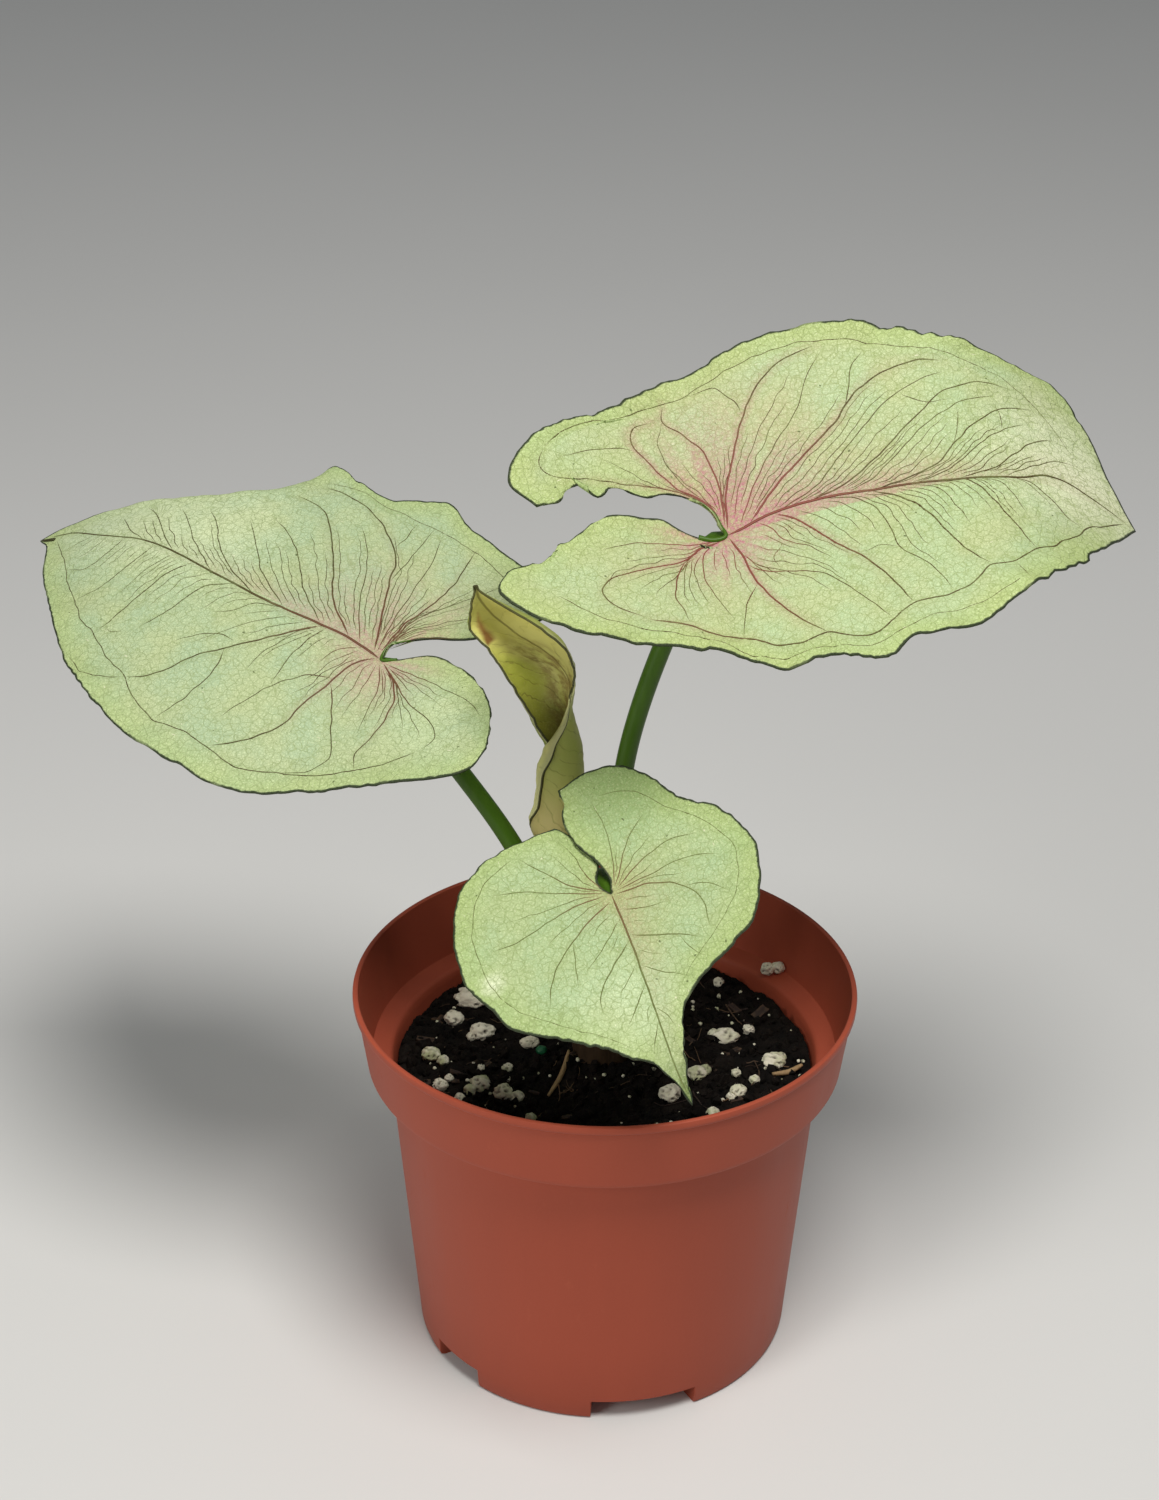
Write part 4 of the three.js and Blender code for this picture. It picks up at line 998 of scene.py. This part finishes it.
            (1.3, ((-1, -1), (-5, -3), (-11, -4.4), (-15, -6))),
            (1.6, ((-0.6, -0.8), (-4, -6), (-9, -11), (-14, -14.6))),
            (1.4, ((-0.4, -1), (-3, -8), (-6, -15), (-8, -22))),
            (1.6, ((0, -1), (0.6, -9), (2.6, -15.6), (4, -21), (4, -26))),
            (1.7, ((1.6, -0.4), (5, -6.6), (10, -12.6), (15, -16.6), (20, -18.6))),
            (1.2, ((6, 0.2), (11, -5), (15, -10))),
            (1.7, ((11, 0.3), (16, -5), (20.4, -8.6), (24.6, -9.4))),
            (1.3, ((21, 0.2), (25, -3), (28.6, -6.4))), (1.2, ((29, 0), (33, -2), (36, -3.4))),
        ),
        "forks": (
            (1.1, ((4.6, 13.4), (6, 18), (10, 22))), (1.1, ((7.6, -10), (12, -11), (18, -12))),
            (1.0, ((14, 9.4), (18, 10.6), (21, 13))),
        ),
        "border": (
            (0.7, ((-21, 4), (-19, 11), (-12, 17), (-7, 22), (1, 25.4), (9, 23), (15, 17.6),
                   (19.6, 11.4), (24, 6))),
            (0.7, ((-14, -15), (-10, -23), (-1, -27.6), (9, -28), (17, -25), (23, -18.6), (28, -12),
                   (33, -6))),
        ),
    },
}


def wandering(points, seed, amount):
    """A vein's line with the small unevenness of a living one"""
    track = Track([Vector((x, y, 0)) for x, y, *_ in smooth_path([(*p, 0) for p in points])])
    count = max(6, round(track.reach[-1] / 0.7))
    line = []
    for k in range(count + 1):
        p = track.at(k / count)
        sway = amount * math.sqrt(max(math.sin(math.pi * k / count), 0))
        line.append(p + sway * noise.noise_vector(Vector((p.x * 0.35, p.y * 0.35, seed * 3.7))))
    return line


def leaf_veins(leaf, plan):
    """All the veins of a leaf, each as its strength and its line"""
    draw = random.Random(leaf["seed"] * 7 + 1)
    strength, points = plan["midrib"]
    found = [(strength, wandering(points, 0, 0.1))]
    for side in ("left", "right"):
        fan = []
        for number, (strength, points) in enumerate(plan[side]):
            fan.append((strength, wandering(points, number, 0.35)))
        found += fan
        tracks = [Track(line) for _, line in fan]
        for low, high in zip(tracks, tracks[1:]):
            for share in leaf["between"]:
                reach = draw.uniform(0.4, 0.86)
                shift = draw.uniform(-0.09, 0.09)
                lead = draw.uniform(0.02, 0.1)
                line = []
                for k in range(BETWEEN_STEPS + 1):
                    along = lead + (reach - lead) * k / BETWEEN_STEPS
                    p = low.at(along).lerp(high.at(along), share + shift * along)
                    line.append((p.x, p.y))
                if (Vector(line[0]) - Vector(line[-1])).length > 4:
                    found.append((BETWEEN_STRENGTH, wandering(line, draw.uniform(0, 50), 0.7)))
    for group in ("forks", "border"):
        for number, (strength, points) in enumerate(plan[group]):
            found.append((strength, wandering(points, 40 + number, 0.45)))
    return found


def blade_mesh(leaf, main_veins):
    """The blade's upper side in the leaf's own frame: it is spread between notch, midrib and
    margin, sinks a little along its veins and is crinkled at the margin"""
    halves = []
    for side in ("right", "left"):
        halves.append([Track(smooth_path([(*p, 0) for p in line], 12)) for line in leaf[side]])
    tip = halves[0][1].path[-1]
    waves, wave, phase = leaf["ripple"]
    crinkle, seed = leaf["crinkle"], leaf["seed"]
    pink_far, pink_near, pink_rib, pink_strength = leaf["pink"]
    spine = KDTree(len(main_veins[0][1]))
    for number, p in enumerate(main_veins[0][1]):
        spine.insert(p, number)
    spine.balance()
    near = KDTree(sum(len(line) for _, line in main_veins))
    strengths = []
    for strength, line in main_veins:
        for p in line:
            near.insert(p, len(strengths))
            strengths.append(strength)
    near.balance()

    def spread(rho, theta, notch, margin):
        share = rho**0.9
        p = margin.at(theta) - margin.path[0] * (1 - theta) - tip * theta
        return p * share + notch.at(share) * (1 - theta) + tip * (theta * share)

    bm = bmesh.new()
    flat = bm.verts.layers.float_vector.new("flat")
    inset = bm.verts.layers.float.new("inset")
    blush = bm.verts.layers.float.new("blush")
    groove = bm.verts.layers.float.new("groove")
    grid = bmesh.ops.create_grid(bm, x_segments=BLADE_ROWS, y_segments=BLADE_COLUMNS, size=1)
    for v in grid["verts"]:
        rho = 1 - (1 - (v.co.x + 1) / 2) ** 1.25
        across = (v.co.y + 1) / 2
        side = 0 if across < 0.5 else 1
        is_far = side == leaf["far_half"]
        theta = max(1 - abs(2 * across - 1), 0)
        notch, margin = halves[side]
        by_notch = Vector((rho * notch.reach[-1] * 0.24, 6.0 + side, 1.0))
        wave_at_notch = (1 - theta) ** 14 * noise.noise(by_notch)
        theta += crinkle * 0.014 * max(wave_at_notch, 0)
        p = spread(rho, theta, notch, margin)
        edge = margin.at(theta)
        from_margin = (edge - p).length
        from_notch = (notch.at(rho**0.9) - p).length
        reach = margin.reach[-1] * theta
        fine = noise.noise(Vector((reach * 0.24, side * 9.0, seed)))
        fine += 0.5 * noise.noise(Vector((reach * 0.6, side * 9.0, seed)))
        course = margin.at(min(theta + 0.004, 1)) - margin.at(max(theta - 0.004, 0))
        fray = 0.35 + 1.1 * ease(noise.noise(Vector((reach * 0.045, side * 5.0, 2.0))), -0.25, 0.3)
        bite = crinkle * fray * max(fine, -0.4) * rho**6 * min(1, 8 * theta * (1 - theta))
        p = p + Vector((-course.y, course.x, 0)).normalized() * (bite if side == 0 else -bite)
        swing = math.tau * waves * theta + phase + 2 * side
        ripple = math.sin(swing) + 0.45 * math.sin(2.3 * swing + 1)
        z = leaf_height(leaf, p.x, p.y)
        z += wave * ripple * rho**5 * math.sqrt(max(math.sin(math.pi * theta), 0))
        lift = noise.noise(Vector((reach * 0.42, 3.0 + side, 5.0)))
        z -= crinkle * 0.9 * max(lift + 0.15, 0) * rho**7 * min(1, 9 * theta * (1 - theta))
        z -= crinkle * 1.6 * abs(wave_at_notch) * rho
        if side == 0:
            dip = leaf["notch_dip"] * math.exp(-(from_notch / 2.6) ** 2)
            z -= dip * ease(-p.x, 4, 7) * (1 - ease(-p.x, 16, 19))
        hits = near.find_n(Vector((p.x, p.y, 0)), 3)
        sink = max(
            math.exp(-(distance / SINK_BREADTH) ** 2) * (0.2 + 0.26 * strengths[k])
            for _, k, distance in hits)
        z -= VEIN_SINK * sink * min(1, from_margin / 3)
        v[groove] = sink
        radial = math.hypot(p.x, p.y)
        streak = 0.8 + 0.8 * noise.noise(Vector((math.atan2(p.y, p.x) * 7, radial * 0.06, 3.0)))
        pink_joint = pink_far if is_far and p.x > 0 else pink_near
        if is_far and p.x <= 0:
            pink_joint += (pink_far - pink_near) * ease(math.atan2(abs(p.y), -p.x), 0.6, 1.57)
        flush = 0.95 * math.exp(-(radial / pink_joint) ** 2) * min(max(streak, 0), 1.1)
        for _, k, distance in hits:
            width = 0.7 + 0.03 * radial
            reach = pink_rib * strengths[k] * (0.42 if is_far else 0.26)
            halo = math.exp(-(distance / width) ** 2 - (radial / reach) ** 2)
            flush = max(flush, 0.85 * halo * min(strengths[k] / 2, 1))
        if is_far and p.x > 0:
            beside = spine.find(Vector((p.x, p.y, 0)))[2] / (3.6 + 1.8 * streak)
            flush = max(flush, 0.8 * math.exp(-beside**2 - (p.x / (1.4 * pink_rib)) ** 2))
        v[blush] = flush * pink_strength
        v[inset] = min(from_margin, from_notch)
        v[flat] = (p.x, p.y, 0)
        v.co = (p.x, p.y, z)
    bmesh.ops.remove_doubles(bm, verts=bm.verts, dist=WELD)
    return bm


def vein_rib(bm, surface, line, strength, under, pink_reach):
    """A vein as a slender closed rib on the blade, or a broader one under it, with thin ends"""
    rows = []
    breadth = (0.25 + 0.054 * strength**2) * (UNDER_BREADTH if under else 1)
    rise = (0.02 + 0.04 * strength) * (UNDER_RISE if under else 1)
    for k, p in enumerate(line):
        along = (line[min(k + 1, len(line) - 1)] - line[max(k - 1, 0)]).normalized()
        beside = Vector((-along.y, along.x, 0)) * breadth / 2
        taper = (1 - 0.3 * k / len(line)) * min(1, (k + 1) / 5, (len(line) - k) / 6)
        row = []
        for offset, lift in ((-taper, -0.03), (0, rise * taper), (taper, -0.03)):
            q = p + beside * offset
            hit = surface.ray_cast(Vector((q.x, q.y, ABOVE_BLADE)), Vector((0, 0, -1)))[0]
            if hit is not None:
                row.append(hit + Vector((0, 0, -BLADE_THICKNESS - lift if under else lift)))
        if len(row) == 3:
            rows.append(row)
    if len(rows) < 4:
        return
    rows = [[(rows[0][0] + rows[0][2]) / 2] * 3, *rows[1:-1], [(rows[-1][0] + rows[-1][2]) / 2] * 3]
    made = bmesh.ops.create_grid(bm, x_segments=len(rows) - 1, y_segments=3, size=1)["verts"]
    flat = bm.verts.layers.float_vector["flat"]
    blush = bm.verts.layers.float["blush"]
    for v in made:
        row = rows[grid_line(v.co.x, len(rows) - 1)]
        v.co = row[grid_line(v.co.y, 3) % 3]
        v[flat] = (v.co.x, v.co.y, 0)
        v[blush] = 1 - ease(math.hypot(v.co.x, v.co.y), 0.3 * pink_reach, pink_reach)
    faces = once(face for v in made for face in v.link_faces)
    bmesh.ops.remove_doubles(bm, verts=made, dist=WELD)
    bmesh.ops.recalc_face_normals(bm, faces=[face for face in faces if face.is_valid])


# Each leaf's patches are a centre in its flat frame, a reach, a strength and a tint. The pale ones are
# painted highlights where the blade catches the lamp; on the front leaf the dark one over the top lobe
# is painted shade, and the last one darkens the blade towards its tip.
LEAF_TINTS = {
    "right": {
        "body": (184, 194, 142), "shade": (146, 162, 96), "margin": (172, 190, 108),
        "flush": (186, 116, 130), "vein_pink": (132, 74, 62),
        "vein": (86, 72, 38), "cool": (178, 198, 150),
        "painted_light_and_tip_patches": ((70, 3, 24, 1.0, (232, 236, 198)),),
    },
    "left": {
        "body": (180, 192, 144), "shade": (142, 158, 102), "margin": (168, 187, 114),
        "flush": (184, 130, 134), "vein_pink": (106, 70, 50),
        "vein": (78, 70, 38), "cool": (168, 189, 150),
        "painted_light_and_tip_patches": ((76, -6, 24, 0.6, (206, 216, 178)), (55, -8, 26, 0.6, (220, 230, 186)),
                    (-19, 9, 14, 0.5, (206, 218, 168))),
    },
    "front": {
        "body": (173, 189, 135), "shade": (140, 158, 96), "margin": (162, 183, 104),
        "flush": (178, 142, 116), "vein_pink": (118, 94, 60),
        "vein": (104, 110, 58), "cool": (168, 191, 144),
        "painted_light_and_tip_patches": ((-21, 9, 17, 0.8, (134, 160, 92)), (24, -4, 16, 0.5, (214, 226, 180)),
                    (40, 0.5, 9, 0.7, (216, 226, 170)), (11, -27, 3.8, 0.85, (232, 238, 204)),
                    (46.5, 0.3, 16, 1.0, (74, 94, 36))),
    },
}


def blade_finish(name, tints, under):
    made = Finish(f"blade_{name}_{'under' if under else 'upper'}", IOR=1.42, Specular_IOR_Level=0.4)
    flat = made.attribute("flat", "Vector")
    inset = made.attribute("inset")
    cloud = made.grain(flat, 0.07, 3.0)
    fleck = made.grain(flat, 2.2, 3.0, 0.7)
    sway = made.node("TexNoise", None, {"Vector": flat, "Scale": 0.8, "Detail": 2.0}, out="Color")
    bent = made.node("VectorMath", {"operation": "ADD"}, {0: flat, 1: sway})
    edges = {"feature": "DISTANCE_TO_EDGE"}
    cells, fine_cells = (
        made.node("TexVoronoi", edges, {"Vector": bent, "Scale": scale}, "Distance")
        for scale in (0.6, 1.7))
    mesh = made.step(cells, 0.1, 0.0) * made.step(made.grain(flat, 0.25, 2.0), 0.3, 0.6, 0.5, 1.0)
    fine_mesh = made.step(fine_cells, 0.16, 0.0)
    made.body = made.mix(made.step(cloud, 0.35, 0.65), tints["body"], tints["cool"])
    made.coat(made.step(inset, 9.0, 0.5) * 0.6, tints["margin"])
    # Painted highlights and painted shade: pale patches where the blade catches the lamp, a dark patch
    # over the front leaf's top lobe where it lies in shade, and a darker patch at the front leaf's tip.
    for x, y, reach, strength, patch in tints["painted_light_and_tip_patches"]:
        away = made.node("VectorMath", {"operation": "DISTANCE"}, {0: flat, 1: (x, y, 0)}, out="Value")
        ragged = away + (made.grain(flat, 0.5, 3.0) - 0.5) * (0.8 * reach)
        made.coat(made.step(ragged, reach, 0.0, 0.0, strength), patch)
    made.coat(made.step(fleck, 0.45, 0.72) * 0.4, (228, 236, 188))
    made.coat(mesh * 0.5 + fine_mesh * 0.26, tints["shade"])
    made.coat(made.attribute("groove") * 0.2, tints["shade"])
    grit = made.step(made.grain(flat, 1.3, 4.0, 0.65), 0.3, 0.68, 0.4, 1.15)
    made.coat(made.attribute("blush") * grit * (0.3 if under else 1.0), tints["flush"])
    fleece = made.step(made.grain(made.stretched(flat, 0.5, 1.6, 1), 0.9, 2.0), 0.71, 0.76)
    made.coat(fleece * 0.6, (240, 234, 204))
    specks = made.step(made.grain(flat, 0.6, 1.0), 0.765, 0.78)
    made.coat(specks * 0.75, (72, 84, 34))
    frayed = inset + (made.grain(flat, 0.9, 3.0) - 0.5) * 0.7
    line = made.step(frayed, 0.58, 0.26) * made.step(made.grain(flat, 0.09, 2.0), 0.3, 0.42, 0.5, 1.0)
    made.coat(line * (0.7 if under else 0.95), (30, 42, 18))
    if under:
        made.coat(0.35, (146, 172, 104))
    made.wear(0.44 + fleck * 0.2, fleck * 0.3 - fine_mesh * 0.4 - mesh * 0.6, 0.45, 0.0005)
    return made


def vein_finish(name, tints, under):
    made = Finish(f"veins_{name}_{'under' if under else 'upper'}", IOR=1.42, Specular_IOR_Level=0.3)
    flat = made.attribute("flat", "Vector")
    patch = made.step(made.grain(flat, 0.3, 3.0), 0.4, 0.65) * 0.3
    made.body = made.mix(patch, tints["vein"], tints["shade"])
    made.coat(made.attribute("blush"), tints["vein_pink"])
    if under:
        made.coat(0.65, (146, 166, 104))
    made.wear(0.5)
    return made


def thicken(blade, thickness):
    """Gives a blade its thickness downwards, with its second finish on the under side"""
    wall = blade.modifiers.new("blade_thickness", "SOLIDIFY")
    wall.thickness = thickness * 0.001
    wall.offset = -1
    wall.material_offset = 1


for name, leaf in LEAVES.items():
    veins = leaf_veins(leaf, VEINS[name])
    bm = blade_mesh(leaf, [(strength, line) for strength, line in veins if strength >= MAIN_VEIN])
    surface = BVHTree.FromBMesh(bm)
    place = leaf_frame(leaf)
    bm.transform(place)
    finishes = [blade_finish(name, LEAF_TINTS[name], under) for under in (False, True)]
    thicken(add_piece(f"leaf_{name}", bm, finishes, [f"blade_{name}"]), BLADE_THICKNESS)
    for under in (False, True):
        bm = bmesh.new()
        bm.verts.layers.float_vector.new("flat")
        bm.verts.layers.float.new("blush")
        for strength, line in veins:
            if not under or strength >= UNDER_VEIN:
                vein_rib(bm, surface, line, strength, under, leaf["pink"][2] * strength * 0.48)
        bm.transform(place)
        label = f"veins_{name}_under" if under else f"veins_{name}"
        add_piece(label, bm, [vein_finish(name, LEAF_TINTS[name], under)])

# Notch rims: the firm, dark green edge of the blade where the stalk passes into it, and the
# small dried hook the left leaf's tip ends in.
NOTCH_RIMS = {
    "right": (
        ((-5.2, 0.4), (-3.1, -0.4), (-1, -0.5), (0, 0), (-0.5, 2.5), (-1.1, 5.4), (-2.7, 7.6)), 0.6),
    "left": (((-2.6, -1.7), (0, 0), (0.9, -2.2), (1, -4), (-1.4, -7.6)), 0.4),
}
HOOK = (
    ((90.5, 1.7), 0), ((92.8, 2.1), 0.1), ((94.4, 1.7), -0.4), ((94.6, 0.8), -1.6), ((93.9, 0.2), -2.3),
)
dried = Finish("dried_tip", IOR=1.45, Specular_IOR_Level=0.3)
grain = dried.grain(dried.place(), 900, 3.0)
dried.body = dried.mix(grain, (38, 40, 20), (74, 72, 38))
dried.wear(0.7, grain, 0.3, 0.0002)
bm = bmesh.new()
bm.verts.layers.float.new("paleness")
for name, (points, thick) in NOTCH_RIMS.items():
    line = smooth_path([leaf_point(LEAVES[name], x, y, -BLADE_THICKNESS / 2) for x, y in points], 8)
    rod(bm, line, [thick * (1 - 0.65 * k / len(line)) for k in range(len(line))], 12)
line = smooth_path([leaf_point(LEAVES["left"], x, y, drop) for (x, y), drop in HOOK], 8)
for face in rod(bm, line, [0.42 - 0.3 * k / len(line) for k in range(len(line))], 10):
    face.material_index = 1
add_piece("notch_rims", bm, [stalk, dried])

# New leaf: the youngest blade, still rolled lengthwise round its own midrib. It is thin and soft,
# its inner side is olive with purplish mottles, its outer side yellow green. One margin is hemmed:
# it folds back over the outer side.
ROLL_AXIS_Y = 8
ROLL_THICKNESS = 0.45
ROLL_ROWS = 120
ROLL_COLUMNS = 130
ROLL_LEAST = 0.08
HEM_BEND = 0.5

# Each station is a height, the roll's centre and radius there, and the turns of the fold, of the
# hem's free edge, of the other margin and of the midrib
ROLL_STATIONS = (
    (112, -10.7, 3, -150, -150, 205, 10), (116.5, -10.3, 4.8, -170, -163, 240, 10),
    (121, -9.3, 4.45, -172, -149, 250, 10), (125, -9.1, 4.15, -176, -146, 248, 10),
    (129.5, -9, 4.05, -175, -138, 240, 10), (133.4, -8.65, 3.45, -160, -122, 232, 10),
    (137.4, -10, 3.9, -103, -88, 205, 10), (142.5, -11.8, 4.5, -44, -36, 192, 12),
    (147.2, -12.8, 6, -18, -17, 184, 30), (151.5, -14, 7.3, -8, -8, 182, 74),
    (156, -16.3, 7.8, -5, -5, 180, 108), (160, -20.3, 7.1, 0, 0, 179, 111),
    (164, -23.3, 3.8, 5, 5, 177, 113), (166.8, -25.1, 1.4, 8, 8, 175, 116),
    (168.4, -25.9, 0.25, 10, 10, 170, 100), (169.5, -26.2, 0.1, 10, 10, 170, 90),
)
ROLL_TINTS = {
    "inner": {
        "base": (176, 176, 92), "pale": (192, 186, 118), "lush": (160, 166, 58), "deep": (108, 104, 30),
        "mottle": (116, 90, 44), "vein": (104, 88, 40), "fades": (36.0, 20.0),
    },
    "outer": {
        "base": (160, 176, 68), "pale": (182, 186, 98), "lush": (154, 170, 62), "deep": (186, 170, 112),
        "mottle": (168, 164, 90), "vein": (146, 148, 78), "fades": (20.0, 6.0),
    },
}


def roll_finish(name, tints):
    made = Finish(f"new_leaf_{name}", IOR=1.43, Specular_IOR_Level=0.35)
    unrolled = made.attribute("unrolled", "Vector")
    across, along = made.part(unrolled, "X"), made.part(unrolled, "Y")
    from_rib = abs(across)
    cloud = made.grain(unrolled, 0.14, 3.0)
    fleck = made.grain(unrolled, 0.45, 5.0, 0.65)
    fine = made.grain(unrolled, 2.4, 3.0, 0.6)
    swayed = along - from_rib * 0.8 + made.grain(unrolled, 0.12, 3.0) * 9.0
    side_veins = made.step(abs(swayed % 3.7 - 1.85), 0.24, 0.03) * made.step(fleck, 0.38, 0.52)
    rib = made.step(from_rib, 0.42, 0.1)
    made.body = made.mix(made.step(cloud, 0.3, 0.7), tints["base"], tints["pale"])
    made.coat(made.step(across, 1.5, -2.0) * 0.6, tints["pale"])
    made.coat(made.step(across, 4.0, 9.0) * made.step(along, 47.0, 41.0) * 0.8, tints["lush"])
    made.coat(made.step(along, *tints["fades"]) * 0.85, tints["deep"])
    centre = made.step(across, 8.5, 4.0) * made.step(across, -3.5, -1.0) * made.step(along, 47.0, 40.0)
    made.coat(made.step(fleck, 0.36, 0.62) * centre * 0.75, tints["mottle"])
    made.coat(made.step(fine, 0.5, 0.7) * 0.25, tints["pale"])
    made.coat(side_veins * 0.45, tints["vein"])
    made.coat(rib * 0.65, tints["vein"])
    if name == "inner":
        # Painted light: the strip of the inner side past the fold on the right faces away from the lamp
        # and is painted near white yellow, as if lit.
        made.coat(made.step(across, -6.5, -11.0) * 0.9, (244, 240, 156))
        # Painted light: the top of the inner side is painted bright yellow green, as if lit from above,
        # with the midrib left darker.
        painted_light_top = made.mix(rib * 0.6, (236, 230, 138), tints["vein"])
        made.coat(made.step(along, 37.0, 48.0) * 0.85, painted_light_top)
        off_streak = abs(across + along * 0.75 - 39.9) + along * 0.4 + fleck * 1.6
        streak = made.step(off_streak, 21.6, 19.2) * made.step(along, 43.4, 44.2)
        rust = made.mix(made.step(along, 48.5, 45.0), (184, 122, 78), (116, 46, 26))
        made.coat(streak * 0.85, rust)
    edge = made.attribute("inset")
    made.coat(made.step(edge, 1.7, 0.5) * made.step(along, 50.0, 45.0) * 0.85, (206, 204, 146))
    made.coat(made.step(edge, 0.26, 0.12) * 0.9, (40, 42, 16))
    made.wear(0.42 + fleck * 0.2, fleck * 0.5 - side_veins * 0.7 - rib, 0.4, 0.0004)
    return made


def track_value(column, along):
    """One column of the stations, read off the smooth curve through them"""
    curve = smooth_path([(k, station[column], 0) for k, station in enumerate(ROLL_STATIONS)], 12)
    return [curve[min(round(share * (len(curve) - 1)), len(curve) - 1)].y for share in along]


shares = [k / ROLL_ROWS for k in range(ROLL_ROWS + 1)]
roll_rows = list(zip(*(track_value(column, shares) for column in range(7))))
bm = bmesh.new()
unrolled = bm.verts.layers.float_vector.new("unrolled")
inset = bm.verts.layers.float.new("inset")
for v in bmesh.ops.create_grid(bm, x_segments=ROLL_ROWS, y_segments=ROLL_COLUMNS, size=1)["verts"]:
    z, x, radius, fold, hem_edge, margin, rib = roll_rows[grid_line(v.co.x, ROLL_ROWS)]
    radius = max(radius, ROLL_LEAST)
    body = math.radians(margin - fold) * radius
    overlap = max(math.radians(hem_edge - fold) * radius, 0)
    bend = HEM_BEND * ease(overlap, 0, 1)
    hem = math.pi * bend + overlap
    reach = (v.co.y + 1) / 2 * (hem + body) - hem
    if reach >= 0:
        turn, out = fold + math.degrees(reach / radius), 0
    elif -reach < math.pi * bend:
        turn = fold - math.degrees(bend * math.sin(-reach / bend) / radius)
        out = bend * (1 - math.cos(-reach / bend))
    else:
        turn, out = fold + math.degrees((-reach - math.pi * bend) / radius), 2 * bend
    v[unrolled] = (math.radians(fold - rib) * radius + reach, z - roll_rows[0][0], 0)
    v[inset] = min(reach + hem, body - reach)
    out += radius * (0.05 * ease(-turn, 110, 160) - 0.2 * ease(turn, 170, 205))
    out -= 0.06 * radius * abs(noise.noise(Vector((turn * 0.03, z * 0.5, 2))))
    out -= 0.3 * ease(reach, 0.85 * body, body) * noise.noise(Vector((z * 0.6, 0, 0)))
    angle = math.radians(turn)
    v.co = (x + (radius + out) * math.cos(angle), ROLL_AXIS_Y + (radius + out) * math.sin(angle), z)
finishes = [roll_finish(name, tints) for name, tints in ROLL_TINTS.items()]
thicken(add_piece("leaf_new", bm, finishes, ["blade_new"]), ROLL_THICKNESS)
